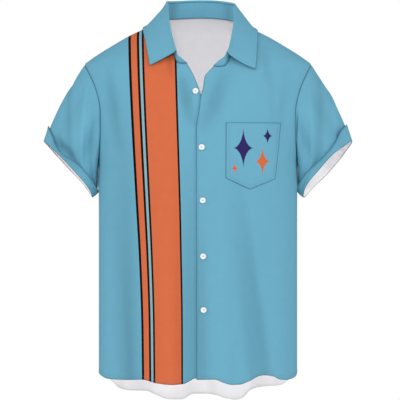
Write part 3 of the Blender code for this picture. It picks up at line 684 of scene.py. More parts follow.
def join_normals(pieces):
    """Gives all points that lie in one place, on whichever piece, the mean of their normals."""
    points = np.concatenate([piece["grid"].reshape(-1, 3) for piece in pieces])
    directions = np.concatenate([piece["normal"].reshape(-1, 3) for piece in pieces])
    _, place = np.unique(np.round(points / (0.01 * MM)), axis=0, return_inverse=True)
    total = np.zeros((place.max() + 1, 3))
    np.add.at(total, place.reshape(-1), directions)
    shared = unit(total)[place.reshape(-1)]
    start = 0
    for piece in pieces:
        size = piece["grid"].size // 3
        piece["normal"] = shared[start:start + size].reshape(piece["grid"].shape)
        start += size


def cut_back(grid, closed):
    """How far each edge point moves into its own piece, to leave half of the seam's gap."""
    move = np.zeros_like(grid)
    move[0] += unit(grid[1] - grid[0])
    move[-1] += unit(grid[-2] - grid[-1])
    if not closed:
        move[:, 0] += unit(grid[:, 1] - grid[:, 0])
        move[:, -1] += unit(grid[:, -2] - grid[:, -1])
    return move * GAP / 2


def distance_to(points, line):
    """Distance of each point to the nearest place on a line of straight steps."""
    flat = points.reshape(-1, 1, 3)
    start, step = line[:-1], np.diff(line, axis=0)
    long = np.maximum((step ** 2).sum(-1), 1e-12)
    away = []
    for part in np.array_split(flat, 1 + len(flat) * len(start) // 1_000_000):
        t = np.clip(((part - start) * step).sum(-1) / long, 0, 1)
        away.append(np.linalg.norm(part - start - t[..., None] * step, axis=-1).min(axis=1))
    return np.concatenate(away).reshape(points.shape[:-1])


def ringed(grid):
    """A tube's grid with its first column once more after the last."""
    return np.concatenate([grid, grid[:, :1]], 1)


def quads(a, b, c, d):
    """Faces of four corners each, from four grids of point numbers."""
    return np.stack([a.ravel(), b.ravel(), c.ravel(), d.ravel()], -1)


def grid_faces(at):
    """The faces between the points of a grid, from the grid of their numbers."""
    return quads(at[:-1, :-1], at[1:, :-1], at[1:, 1:], at[:-1, 1:])


def edge_lines(piece, names):
    """The points along the named edges of a piece's grid."""
    grid = piece["grid"]
    ring = ringed(grid) if piece["closed"] else grid
    lines = {"top": ring[0], "bottom": ring[-1], "first": grid[:, 0], "last": grid[:, -1]}
    return [lines[name] for name in names.split()]


def nearest_edge(piece, names):
    """Distance of each grid point to the nearest of the named edges."""
    far = np.full(piece["grid"].shape[:2], 1.0)
    for line in edge_lines(piece, names):
        far = np.minimum(far, distance_to(piece["grid"], line))
    return far


def cloth_map(grid, closed):
    """Metres along the threads at each grid point: the mean running length across and down."""
    wide = ringed(grid) if closed else grid
    across = np.linalg.norm(np.diff(wide, axis=1), axis=-1)
    across = np.concatenate([np.zeros((len(grid), 1)), np.cumsum(across, axis=1)], 1)
    down = np.linalg.norm(np.diff(wide, axis=0), axis=-1)
    down = np.concatenate([np.zeros((1, wide.shape[1])), np.cumsum(down, axis=0)], 0)
    return np.stack([across, down], -1)


def sew(piece, style):
    """Makes a piece of cloth an object: an outer and an inner sheet, joined round their edges.

    The outer sheet is the piece's grid; the inner one lies a thickness below it, and both swell
    along a turned hem and sink at a seam.
    """
    grid, normal, closed = piece["grid"], piece["normal"], piece["closed"]
    to_seam, to_free = nearest_edge(piece, piece["seams"]), nearest_edge(piece, piece["free"])
    hem = 1 - ease((to_free - style.hem_width + HEM_STEP / 2) / HEM_STEP)
    sink = piece["sink"] * style.seam_depth * np.exp(-((to_seam / style.seam_width) ** 2))
    move = cut_back(grid, closed)
    outer = grid + move + normal * (style.hem_rise * hem - sink)[..., None]
    thick = style.thickness + style.hem_rise * hem * 2
    inner = outer - normal * thick[..., None]
    rows, columns = grid.shape[:2]
    index = np.arange(rows * columns).reshape(rows, columns)
    threads = cloth_map(grid, closed)
    corner = np.arange(threads.shape[0] * threads.shape[1]).reshape(threads.shape[:2])
    if closed:
        index = ringed(index)
    under = index + rows * columns
    faces = [grid_faces(index), grid_faces(under)[:, ::-1]]
    corners = [grid_faces(corner), grid_faces(corner)[:, ::-1]]
    rims = [(0, slice(None), 1), (-1, slice(None), -1)]
    if not closed:
        rims += [(slice(None), 0, -1), (slice(None), -1, 1)]
    for row, column, way in rims:
        top, low, uv = (at[row, column][::way] for at in (index, under, corner))
        faces.append(quads(top[:-1], top[1:], low[1:], low[:-1]))
        corners.append(quads(uv[:-1], uv[1:], uv[1:], uv[:-1]))
    faces, corners = np.concatenate(faces), np.concatenate(corners)
    if piece["turned"] > 0:
        faces, corners = faces[:, ::-1], corners[:, ::-1]
    inside = np.zeros(len(faces), int)
    sheet_faces = (rows - 1) * (index.shape[1] - 1)
    inside[sheet_faces:2 * sheet_faces] = 1
    if piece["white_rim"]:
        inside[2 * sheet_faces + index.shape[1] - 1:][:index.shape[1] - 1] = 1
    points = np.concatenate([outer.reshape(-1, 3), inner.reshape(-1, 3)])
    mesh = new_mesh(piece["name"], points, faces)
    mesh.polygons.foreach_set("material_index", inside)
    layer = mesh.uv_layers.new(name="threads")
    layer.data.foreach_set("uv", threads.reshape(-1, 2)[corners.ravel()].ravel())
    # The painted shade and light of folds, hollows, corners and the crease, kept as the attribute
    # fold.
    folds = np.clip(piece["folds"], *SHADE_LIMITS)
    for name, values in (
        ("to_seam", to_seam), ("to_free", to_free), ("fold", folds), *piece["extra"].items(),
    ):
        attribute = mesh.attributes.new(name, "FLOAT", "POINT")
        attribute.data.foreach_set("value", np.tile(values.ravel(), 2).astype(np.float32))
    made = new_object(piece["name"] + "_cloth", mesh)
    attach(made, "root")
    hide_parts(piece["name"])
    return made


def new_mesh(name, points, faces):
    """A smooth mesh of these points and faces, all with the same number of corners."""
    mesh = bpy.data.meshes.new(name)
    mesh.vertices.add(len(points))
    mesh.vertices.foreach_set("co", np.asarray(points, np.float32).ravel())
    mesh.loops.add(faces.size)
    mesh.loops.foreach_set("vertex_index", faces.astype(np.int32).ravel())
    mesh.polygons.add(len(faces))
    starts = np.arange(0, faces.size, faces.shape[1], dtype=np.int32)
    mesh.polygons.foreach_set("loop_start", starts)
    mesh.update(calc_edges=True)
    mesh.validate()
    mesh.shade_smooth()
    return mesh


def new_object(name, data):
    """An object of a mesh, light or camera, in the scene."""
    made = bpy.data.objects.new(name, data)
    bpy.context.scene.collection.objects.link(made)
    return made


def piece_of(name, grid, folds, closed, turned, slot, seams, free, **extra):
    """A piece to sew: its grid and the painted shade of its folds, whether it is a tube, and its
    sewn and free edges.
    """
    return {
        "name": name, "grid": grid, "folds": folds, "closed": closed, "turned": turned,
        "slot": slot, "seams": seams, "free": free, "extra": extra, "sink": 1.0, "white_rim": False,
        "normal": normals(grid, closed, turned),
    }


def stripe_place(x, z):
    """0 on the middle of the first black line and 1 on that of the last."""
    first, width = (smooth(z, STRIPES["z"], STRIPES[name]) for name in ("x", "width"))
    return (x - first) / width


def sewn_pieces():
    """All the sewn pieces by name, with the normals of those that meet made one at their seams."""
    right, right_painted_shade = front_panel(NECK_RIGHT, EDGE_RIGHT, HEM_RIGHT, -1, True)
    left, left_painted_shade = front_panel(NECK_LEFT, EDGE_LEFT, HEM_LEFT, 1, False)
    back, back_painted_shade = back_panel()
    stripe = stripe_place(right[..., 0], right[..., 2])
    neck_steps = (len(NECK_RIGHT["x"]) - 1) * FINE + 1
    middle = back[0, SHOULDER_STEPS + 1:-SHOULDER_STEPS - 1]
    seam = np.concatenate([right[0, :neck_steps], middle, left[0, :neck_steps][::-1]])
    panels = [
        piece_of("back", back, back_painted_shade, False, -1, "cloth", "top first last", "bottom"),
        piece_of(
            "front_right", right, right_painted_shade, False, -1, "striped_cloth", "top last",
            "first bottom", stripe=stripe,
        ),
        piece_of("front_left", left, left_painted_shade, False, 1, "cloth", "top last", "first bottom"),
    ]
    stand_grid = stand_surface(seam)
    # Painted shade in the back corners of the stand.
    across = (np.abs(stand_grid[..., 0] - CORNER_MIDDLE) - CORNER_FROM) / CORNER_WIDTH
    corners = CORNER_SHADE * ease(across) * ease(stand_grid[..., 1] / CORNER_DEPTH)
    stand = piece_of("collar_stand", stand_grid, corners, False, 1, "cloth", "top", "first last")
    out = stand["normal"][-1]
    fall_grid = fall_surface(stand_grid, out, panels)
    none = np.zeros(fall_grid.shape[:2])
    fall = piece_of("collar_fall", fall_grid, none, False, -1, "cloth", "top", "bottom first last")
    fall["normal"][:LEAF_INSIDE + 1] = -out[LEAF_FREE:-LEAF_FREE]
    down = np.linspace(0, 1, SLEEVE_STEPS + 1)[:, None]
    sleeves = []
    for name, side, ring in (
        ("right", -1, armhole_ring(right[:, -1], back[:, 0])),
        ("left", 1, armhole_ring(left[:, -1], back[:, -1])),
    ):
        points, folds = sleeve_surface(ring, side, down)
        sleeves.append(
            piece_of(f"sleeve_{name}", points, folds, True, -side, "cloth", "top", "bottom")
        )
        points, folds = cuff_surface(ring, side)
        sleeves.append(
            piece_of(f"cuff_{name}", points, folds, True, -side, "cloth", "bottom", "top")
        )
    points, folds = pocket_surface()
    pocket = piece_of(
        "pocket", points, folds, False, 1, "pocket_cloth", "bottom first last", "top"
    )
    fall["sink"], stand["sink"], pocket["sink"] = 0.3, 0.5, 0.4
    for piece in (panels[0], *sleeves):
        piece["white_rim"] = True
    pieces = [*panels, *sleeves, stand, fall, pocket]
    join_normals(pieces)
    return {piece["name"]: piece for piece in pieces}


# ---------------------------------------------------------------- stitches and buttons


def inset_path(piece, edge, inset, clear=""):
    """The line on a piece's outer side that runs at a distance inset from one edge of its grid.

    It is found on each grid line that leaves the edge, by running length, and its ends are cut off
    where they come closer than that to the edges named in clear.
    """
    grid, normal = piece["grid"], piece["normal"]
    if edge in ("first", "last"):
        grid, normal = grid.transpose(1, 0, 2), normal.transpose(1, 0, 2)
    if edge in ("bottom", "last"):
        grid, normal = grid[::-1], normal[::-1]
    run = np.cumsum(np.linalg.norm(np.diff(grid, axis=0), axis=-1), axis=0)
    run = np.concatenate([np.zeros((1, grid.shape[1])), run])
    after = np.clip((run < inset).sum(axis=0), 1, len(grid) - 1)
    column = np.arange(grid.shape[1])
    share = (inset - run[after - 1, column]) / (run[after, column] - run[after - 1, column])
    share = np.clip(share, 0, 1)[:, None]
    path, out = (
        field[after - 1, column] * (1 - share) + field[after, column] * share
        for field in (grid, normal)
    )
    if piece["closed"]:
        path, out = np.concatenate([path, path[:1]]), np.concatenate([out, out[:1]])
    kept = np.full(len(path), True)
    for line in edge_lines(piece, clear):
        kept &= distance_to(path, line) >= inset * STITCH_CLEAR
    return path[kept], unit(out[kept])


def beads(path, out, pitch, length, radius, across=False):
    """Points of stitches along a line: each a bead on an ellipse, laid along it or across it."""
    run = np.concatenate([[0], np.cumsum(np.linalg.norm(np.diff(path, axis=0), axis=-1))])
    middle = (np.arange(max(int(run[-1] / pitch), 1)) + 0.5) * pitch
    middle = middle[middle < run[-1]]

    def at(place, field):
        return np.stack([np.interp(place, run, column) for column in field.T], -1)

    ahead = unit(at(middle + 0.2 * pitch, path) - at(middle - 0.2 * pitch, path))
    up = unit(at(middle, out))
    side = unit(np.cross(up, ahead))
    if across:
        ahead, side = side, -ahead
    up = np.cross(ahead, side)
    long, wide = BEAD["along_share"] * length, BEAD["radius_share"] * radius
    turn = np.arange(BEAD_SIDES) / BEAD_SIDES * 2 * np.pi
    local = np.stack([
        long[:, None] + 0 * turn,
        wide[:, None] * np.cos(turn),
        wide[:, None] * np.sin(turn) * BEAD_FLATNESS + radius * BEAD_RISE,
    ], -1)
    turned = np.einsum("rtk,nkc->nrtc", local, np.stack([ahead, side, up], 1))
    return (at(middle, path)[:, None, None] + turned).reshape(-1, 3)


def bead_faces(count):
    """The faces of that many beads, all alike."""
    index = np.arange(BEAD_POINTS).reshape(-1, BEAD_SIDES)
    ring = ringed(index)
    faces = [quads(ring[:-1, :-1], ring[:-1, 1:], ring[1:, 1:], ring[1:, :-1])]
    first, last = index[0], index[-1, ::-1]
    for cap in (first, last):
        faces.append(np.array([cap[[3, 2, 1, 0]], cap[[5, 4, 3, 0]]]))
    faces = np.concatenate(faces)
    return (np.arange(count)[:, None, None] * BEAD_POINTS + faces).reshape(-1, 4)


def stitch_object(name, rows, material):
    """One object of all the stitches in rows."""
    points = np.concatenate(rows)
    mesh = new_mesh(name, points, bead_faces(len(points) // BEAD_POINTS))
    mesh.materials.append(material)
    made = new_object(name, mesh)
    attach(made, "root")


def button_place(number, x, z):
    """The axes and the foot of a button that lies on the front at x, z, as columns."""
    x, z = np.array([x, x + MM, x]), np.array([z, z, z - MM])
    points = body(x, z, -1, lap_drop(x, z) if number == 1 else 0)[0]
    axis = unit(np.cross(points[2] - points[0], points[1] - points[0]))
    across = unit(points[1] - points[0])
    return np.stack([across, np.cross(axis, across), axis]), points[0] + axis * BUTTON_LIFT


def button_points():
    """A turned button with four holes: its section carried round, and pressed in at each hole."""
    section_rows = np.stack(list(BUTTON_SECTION.values()), -1)
    radius, height = finer(section_rows)[:, :, None].transpose(1, 0, 2)
    turn = (np.arange(BUTTON_COLUMNS) + 0.5) / BUTTON_COLUMNS * 2 * np.pi
    x, y = radius * np.cos(turn), radius * np.sin(turn)
    away = np.hypot(np.abs(x) - HOLE_SPOT, np.abs(y) - HOLE_SPOT)
    hole = ease((HOLE_RADIUS - away) / HOLE_SLOPE) * (height > BUTTON_FACE)
    return np.stack([x, y, height - HOLE_DEPTH * hole + 0 * turn], -1)


def button_object(number, x, z, material):
    """The button of that number, at x, z on the front."""
    grid = button_points()
    axes, foot = button_place(number, x, z)
    index = np.arange(grid.shape[0] * grid.shape[1]).reshape(grid.shape[:2])
    ring = ringed(index)
    faces = grid_faces(ring).tolist()
    faces += [index[0].tolist(), index[-1, ::-1].tolist()]
    mesh = bpy.data.meshes.new(f"button_{number}")
    mesh.from_pydata((grid.reshape(-1, 3) @ axes + foot).tolist(), [], faces)
    mesh.shade_smooth()
    mesh.materials.append(material)
    made = new_object(f"button_{number}_turned", mesh)
    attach(made, "root")
    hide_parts(f"button_{number}")


def button_threads(axes, foot):
    """The two bars of thread that cross on a button's face, from hole to hole."""
    out, length = np.tile(axes[2], (2, 1)), 2 * HOLE_PLACE
    bars = []
    for way in (-1, 1):
        spot = np.array((HOLE_SPOT, way * HOLE_SPOT, 0))
        bar = np.stack([-spot, spot]) + (0, 0, BAR_HEIGHT)
        bars.append(beads(bar @ axes + foot, out, length, length, BAR_RADIUS))
    return bars


def buttonhole(x, z):
    """The two rows of stitches of an upright buttonhole with its middle at x, z on the front."""
    down = z + np.linspace(0.5, -0.5, BUTTONHOLE_STEPS + 1) * BUTTONHOLE_LENGTH
    points, out, _ = body(np.full(len(down), x), down, -1)
    paths = (points + (way * BUTTONHOLE_HALF, 0, 0) + out * BUTTONHOLE_LIFT for way in (-1, 1))
    return [beads(path, out, *BUTTONHOLE_STITCH, across=True) for path in paths]


# ---------------------------------------------------------------- materials


class Nodes:
    """Adds nodes to a material: each call makes one node and returns its first output."""

    def __init__(self, name):
        self.material = bpy.data.materials.new(name)
        self.material.use_nodes = True
        self.tree = self.material.node_tree
        self.shader = self.tree.nodes["Principled BSDF"]

    def add(self, kind, *inputs, output=0, **settings):
        node = self.tree.nodes.new(f"ShaderNode{kind}")
        for name, value in settings.items():
            setattr(node, name, value)
        for socket, value in zip(node.inputs, inputs):
            self.put(socket, value)
        return node.outputs[output]

    def put(self, socket, value):
        if isinstance(value, bpy.types.NodeSocket):
            self.tree.links.new(value, socket)
        elif value is not None:
            socket.default_value = value

    def surface(self, name, value):
        """Sets or links one of the shader's own sockets."""
        self.put(self.shader.inputs[name], value)

    def place(self):
        """Where on the shirt: the object's own coordinates."""
        return self.add("TexCoord", output=3)

    def noise(self, scale, detail):
        """Soft noise over the shirt."""
        return self.add("TexNoise", self.place(), None, scale, detail)

    def relief(self, height, strength, distance):
        """Lets the surface look as uneven as height."""
        self.surface("Normal", self.add("Bump", strength, distance, None, height))

    def math(self, operation, a, b=0.0):
        return self.add("Math", a, b, operation=operation)

    def mix(self, share, a, b, blend="MIX"):
        node = self.tree.nodes.new("ShaderNodeMix")
        node.data_type, node.blend_type = "RGBA", blend
        for socket, value in ((0, share), (6, a), (7, b)):
            self.put(node.inputs[socket], value)
        return node.outputs[2]

    def attribute(self, name):
        node = self.tree.nodes.new("ShaderNodeAttribute")
        node.attribute_name = name
        return node.outputs["Fac"]

    def span(self, value, low, high, out_low=0.0, out_high=1.0):
        """The value eased from low..high to out_low..out_high."""
        return self.add(
            "MapRange", value, low, high, out_low, out_high, interpolation_type="SMOOTHSTEP"
        )


def finish_cloth(nodes, colour, style, edge_shade=EDGE_SHADE):
    """Paints shade and light at folds, paints shade along seams and edges, mottles the colour a
    little, and adds the weave.
    """
    # Painted shade in folds and painted light on ridges, then painted shade lines along seams and
    # edges.
    fold = nodes.math("MULTIPLY", nodes.attribute("fold"), style.painted_fold_shade)
    fold = nodes.math("ADD", fold, 1.0)
    seam = nodes.span(nodes.attribute("to_seam"), *SEAM_LINE, style.seam_shade, 1.0)
    free = nodes.span(nodes.attribute("to_free"), *EDGE_LINE, edge_shade, 1.0)
    mottle = nodes.span(nodes.noise(scale=60.0, detail=3.0), *NOISE_MIDDLE, *MOTTLE)
    painted_shade_and_mottle = nodes.math("MULTIPLY", fold, seam)
    painted_shade_and_mottle = nodes.math("MULTIPLY", painted_shade_and_mottle, nodes.math("MULTIPLY", free, mottle))
    colour = nodes.mix(1.0, colour, nodes.add("CombineColor", painted_shade_and_mottle, painted_shade_and_mottle, painted_shade_and_mottle), blend="MULTIPLY")
    nodes.surface("Base Color", colour)
    threads = nodes.add("UVMap", uv_map="threads")
    u, v = (nodes.add("SeparateXYZ", threads, output=i) for i in (0, 1))
    pitch = 2 * np.pi / style.thread_pitch
    weave = nodes.math(
        "MULTIPLY",
        nodes.math("SINE", nodes.math("MULTIPLY", u, pitch)),
        nodes.math("SINE", nodes.math("MULTIPLY", v, pitch)),
    )
    slub = nodes.noise(scale=900.0, detail=2.0)
    height = nodes.math("ADD", nodes.math("MULTIPLY", weave, 0.5), slub)
    nodes.relief(height, strength=0.15, distance=0.2 * MM)
    nodes.surface("Roughness", nodes.span(weave, -1.0, 1.0, *CLOTH_ROUGHNESS))
    nodes.surface("Specular IOR Level", 0.03)
    nodes.surface("Sheen Weight", 0.01)
    nodes.surface("Sheen Roughness", 0.5)
    return nodes.material


def blue_cloth(name, style):
    """The cloth of all that has no print."""
    nodes = Nodes(name)
    return finish_cloth(nodes, solid(nodes, style.blue), style)


def white_cloth(name, style):
    """The unprinted back of the cloth, with only faint painted shade along its edges."""
    nodes = Nodes(name)
    return finish_cloth(nodes, solid(nodes, style.inside), style, INSIDE_EDGE_SHADE)


def solid(nodes, colour):
    """A colour that varies a little from thread to thread."""
    grain = nodes.noise(scale=25.0, detail=2.0)
    darker = [c * 0.985 for c in colour]
    lighter = [min(c * 1.015, 1.0) for c in colour]
    return nodes.mix(grain, (*darker, 1), (*lighter, 1))


def starred_cloth(name, style):
    """The pocket's cloth, with its stars printed on it by their place on the shirt."""
    nodes = Nodes(name)
    where = nodes.place()
    x, z = (nodes.add("SeparateXYZ", where, output=i) for i in (0, 2))
    colour = solid(nodes, style.blue)
    for (*centre, half_width, half_height), ink in zip(zip(*STARS.values()), STAR_COLOURS):
        shares = []
        for at, middle, half in zip((x, z), centre, (half_width, half_height)):
            away = nodes.math("DIVIDE", nodes.math("SUBTRACT", at, middle), half)
            shares.append(nodes.math("POWER", nodes.math("ABSOLUTE", away), STAR_POWER))
        inside = nodes.math("LESS_THAN", nodes.math("ADD", *shares), 1.0)
        colour = nodes.mix(inside, colour, (*getattr(style, ink), 1))
    return finish_cloth(nodes, colour, style)


def thread(name, colour):
    """Sewing thread, twisted: fine bands across the stitch."""
    nodes = Nodes(name)
    twist = nodes.add("TexWave", nodes.place(), 900.0, 2.0, bands_direction="DIAGONAL")
    darker = tuple(c * 0.8 for c in colour)
    nodes.surface("Base Color", nodes.mix(twist, (*darker, 1), (*colour, 1)))
    nodes.relief(twist, strength=0.3, distance=0.1 * MM)
    nodes.surface("Roughness", 0.6)
    nodes.surface("Specular IOR Level", 0.2)
    return nodes.material


def button_resin(name, style):
    """White resin, faintly clouded, polished on its face."""
    nodes = Nodes(name)
    cloud = nodes.noise(scale=180.0, detail=3.0)
    darker = tuple(c * 0.93 for c in style.button)
    nodes.surface("Base Color", nodes.mix(cloud, (*darker, 1), (*style.button, 1)))
    scratch = nodes.noise(scale=1500.0, detail=2.0)
    nodes.surface("Roughness", nodes.span(scratch, *NOISE_MIDDLE, *BUTTON_ROUGHNESS))
    nodes.relief(scratch, strength=0.05, distance=0.1 * MM)
    return nodes.material


def striped_cloth(name, style):
    """The striped front: the bands of STRIPE_BANDS, by the cloth's place across the stripes."""
    nodes = Nodes(name)
    ramp = nodes.tree.nodes.new("ShaderNodeValToRGB")
    ramp.color_ramp.interpolation = "CONSTANT"
    place = nodes.add("MapRange", nodes.attribute("stripe"), STRIPE_LOW, STRIPE_HIGH, 0.0, 1.0)
    nodes.put(ramp.inputs[0], place)
    elements = ramp.color_ramp.elements
    start = 0.0
    for number, (end, colour) in enumerate(STRIPE_BANDS):
        element = elements[number] if number < 2 else elements.new(start)
        element.position = start
        element.color = (*getattr(style, colour), 1)
        start = min((end - STRIPE_LOW) / (STRIPE_HIGH - STRIPE_LOW), 1.0)
    return finish_cloth(nodes, ramp.outputs[0], style)


# ---------------------------------------------------------------- stage


def add_camera(stage, middle):
    """The camera, straight in front of the shirt's middle."""
    camera = bpy.data.cameras.new("camera")
    camera.sensor_width = SENSOR
    camera.lens = SENSOR * stage.distance / stage.view_width
    camera.clip_end = 100
    holder = new_object("camera", camera)
    holder.location = middle - (0, stage.distance, 0)
    holder.rotation_euler = (np.pi / 2, 0, 0)
    bpy.context.scene.camera = holder


def add_light(stage, middle, name, place, size, power, share):
    """A light that shines from its place to the middle: a square, or a point where size is 0."""
    light = bpy.data.lights.new(name, "AREA" if size else "POINT")
    light.energy = getattr(stage, power) * share
    if size:
        light.size = size
    else:
        light.shadow_soft_size = POINT_RADIUS
    holder = new_object(name, light)
    holder.visible_camera = bool(size)
    holder.location = place
    away = Vector(place) - Vector(middle)
    holder.rotation_euler = away.to_track_quat("Z", "Y").to_euler()


def add_world(stage):
    """White all round for the camera, and dimmer in the light that it gives."""
    world = bpy.data.worlds.new("studio")
    world.use_nodes = True
    nodes, links = world.node_tree.nodes, world.node_tree.links
    background = nodes["Background"]
    background.inputs["Color"].default_value = (1, 1, 1, 1)
    path, strength = nodes.new("ShaderNodeLightPath"), nodes.new("ShaderNodeMapRange")
    strength.inputs["To Min"].default_value = stage.ambient
    strength.inputs["To Max"].default_value = 1.0
    links.new(path.outputs["Is Camera Ray"], strength.inputs["Value"])
    links.new(strength.outputs[0], background.inputs["Strength"])
    bpy.context.scene.world = world


def floor_material():
    """Pale plaster, faintly clouded."""
    nodes = Nodes("floor")
    grain = nodes.noise(scale=6.0, detail=4.0)
    nodes.surface("Base Color", nodes.mix(grain, (0.84, 0.84, 0.83, 1), (0.88, 0.88, 0.87, 1)))
    nodes.surface("Roughness", 0.7)
    return nodes.material


def add_floor(stage):
    """A round floor below the shirt: rings of faces round a middle point."""
    angle = np.linspace(0, 2 * np.pi, FLOOR_COLUMNS + 1)[:-1]
    ring = np.stack([np.cos(angle), np.sin(angle), 0 * angle], -1)
    rings = (ring * np.array(FLOOR_RADII)[:, None, None]).reshape(-1, 3)
    points = np.concatenate([[[0, 0, 0]], rings]) + (0, 0, stage.floor_height)
    index = ringed(1 + np.arange(len(rings)).reshape(len(FLOOR_RADII), -1))
    centre = np.zeros(FLOOR_COLUMNS, int)
    middle = np.stack([centre, index[0, :-1], index[0, 1:]], -1)
    mesh = bpy.data.meshes.new("floor")
    mesh.from_pydata(points.tolist(), [], middle.tolist() + grid_faces(index).tolist())
    floor = new_object("floor", mesh)
    mesh.materials.append(floor_material())


# ---------------------------------------------------------------- settings


def length_setting(name, description, default):
    """A setting in metres."""
    return FloatProperty(
        name=name, description=description, default=default, unit="LENGTH", subtype="DISTANCE"
    )


def share_setting(name, description, default):
    """A setting from 0 to 1."""
    return FloatProperty(
        name=name, description=description, default=default, min=0, max=1, subtype="FACTOR"
    )


def colour_setting(name, description, default):
    """A colour as red, green and blue light."""
    return FloatVectorProperty(
        name=name, description=description, default=default, size=3, min=0, max=1, subtype="COLOR"
    )


def power_setting(name, description, default):
    """A light's power in watts."""
    return FloatProperty(name=name, description=description, default=default, unit="POWER")


class ShirtStyle(bpy.types.PropertyGroup):
    """Sizes and colours of the cloth, the thread and the buttons"""

    thickness: length_setting("Cloth thickness", "One layer of the shirt's cloth", 0.6 * MM)
    hem_width: length_setting("Hem width", "Width of the turned edges", 7 * MM)
    hem_rise: length_setting("Hem rise", "How far a turned edge stands up on each side", 0.22 * MM)
    seam_depth: length_setting("Seam depth", "How far the cloth sinks at a seam", 0.9 * MM)
    seam_width: length_setting("Seam width", "Half width of that hollow", 2.2 * MM)
    thread_pitch: length_setting("Thread pitch", "From one thread to the next but one", 0.7 * MM)
    stitch_pitch: length_setting("Stitch pitch", "From one stitch to the next", 2.8 * MM)
    stitch_length: length_setting("Stitch length", "Thread that shows in one stitch", 2.1 * MM)
    thread_radius: length_setting("Thread radius", "Half the sewing thread's thickness", 0.2 * MM)
    thread: colour_setting("Thread", "Sewing thread", (0.105, 0.31, 0.42))
    # Painted shade: the dark line along a seam.
    seam_shade: share_setting("Seam shade", "Brightness of the line along a seam", 0.6)
    # Painted shade at the bottom of a fold and painted light on a ridge, per unit of their shade
    # share.
    painted_fold_shade: share_setting("Painted fold shade", "How much darker the bottom of a common fold is", 0.11)
    blue: colour_setting("Blue", "Main colour of the cloth", (0.140, 0.380, 0.512))
    orange: colour_setting("Orange", "Wide stripe", (0.61, 0.140, 0.057))
    black: colour_setting("Black", "Narrow stripes", (0.006, 0.005, 0.005))
    light_blue: colour_setting("Light blue", "Line between the black stripes", (0.235, 0.41, 0.47))
    navy: colour_setting("Navy", "Stars on the pocket", (0.03, 0.02, 0.12))
    inside: colour_setting("Inside", "Unprinted back of the cloth", (0.93, 0.92, 0.94))
    button: colour_setting("Button", "Colour of the buttons", (0.86, 0.87, 0.88))
    button_thread: colour_setting(
        "Button thread", "Thread that holds the buttons",
        (0.36, 0.38, 0.42),
    )


class ShirtStage(bpy.types.PropertyGroup):
    """Where the camera stands, and how strong the lights are"""

    distance: length_setting("Camera distance", "From the camera to the shirt's middle", 6.0)
    height: length_setting("Camera height", "Above the base of the neck", -0.340)
    view_width: length_setting("View width", "What the camera takes in at the shirt", 0.8)
    floor_height: length_setting("Floor height", "Floor, from the base of the neck", -1.15)
    front_power: power_setting("Front light", "Power of the light over the camera", 89)
    inner_power: power_setting("Inner light", "Power of the weak light inside the shirt", 0.36)
    side_power: power_setting("Side lights", "Power of each of the lights at the sides", 62)
    ambient: FloatProperty(
        name="Ambient", description="Strength of the light from all round", default=0.56, min=0,
    )


# ---------------------------------------------------------------- operators


def material_once(name, make):
    """The material of that name, made on its first use."""
    return bpy.data.materials.get(name) or make(name)


CLOTHS = {
    "cloth_blue": blue_cloth, "cloth_inside": white_cloth,
    "cloth_striped": striped_cloth, "cloth_starred": starred_cloth,
}
PRINTED = {"front_right": "cloth_striped", "pocket": "cloth_starred"}


def sew_all(style, names, inner="cloth_inside"):
    """Sews the pieces of these names, each with its cloth outside and the inner one inside."""
    pieces = sewn_pieces()
    for name in names:
        made = sew(pieces[name], style)
        for cloth in (PRINTED.get(name, "cloth_blue"), inner):
            material = material_once(cloth, lambda title: CLOTHS[title](title, style))
            made.data.materials.append(material)


class SHIRT_OT_panels(bpy.types.Operator):
    """Sew the back and the two fronts"""

    bl_idname = "shirt.panels"
    bl_label = "Back and Fronts"

    def execute(self, context):
        sew_all(context.scene.shirt_style, ("back", "front_right", "front_left"))
        return {"FINISHED"}


class SHIRT_OT_sleeves(bpy.types.Operator):
    """Sew the sleeves and their cuffs"""

    bl_idname = "shirt.sleeves"
    bl_label = "Sleeves and Cuffs"

    def execute(self, context):
        names = "sleeve_right", "sleeve_left", "cuff_right", "cuff_left"
        sew_all(context.scene.shirt_style, names)
        return {"FINISHED"}


class SHIRT_OT_collar(bpy.types.Operator):
    """Sew the collar's stand and leaf"""

    bl_idname = "shirt.collar"
    bl_label = "Collar"

    def execute(self, context):
        names = "collar_stand", "collar_fall"
        sew_all(context.scene.shirt_style, names, inner="cloth_blue")
        return {"FINISHED"}


class SHIRT_OT_pocket(bpy.types.Operator):
    """Sew the patch pocket"""

    bl_idname = "shirt.pocket"
    bl_label = "Pocket"

    def execute(self, context):
        sew_all(context.scene.shirt_style, ("pocket",))
        return {"FINISHED"}


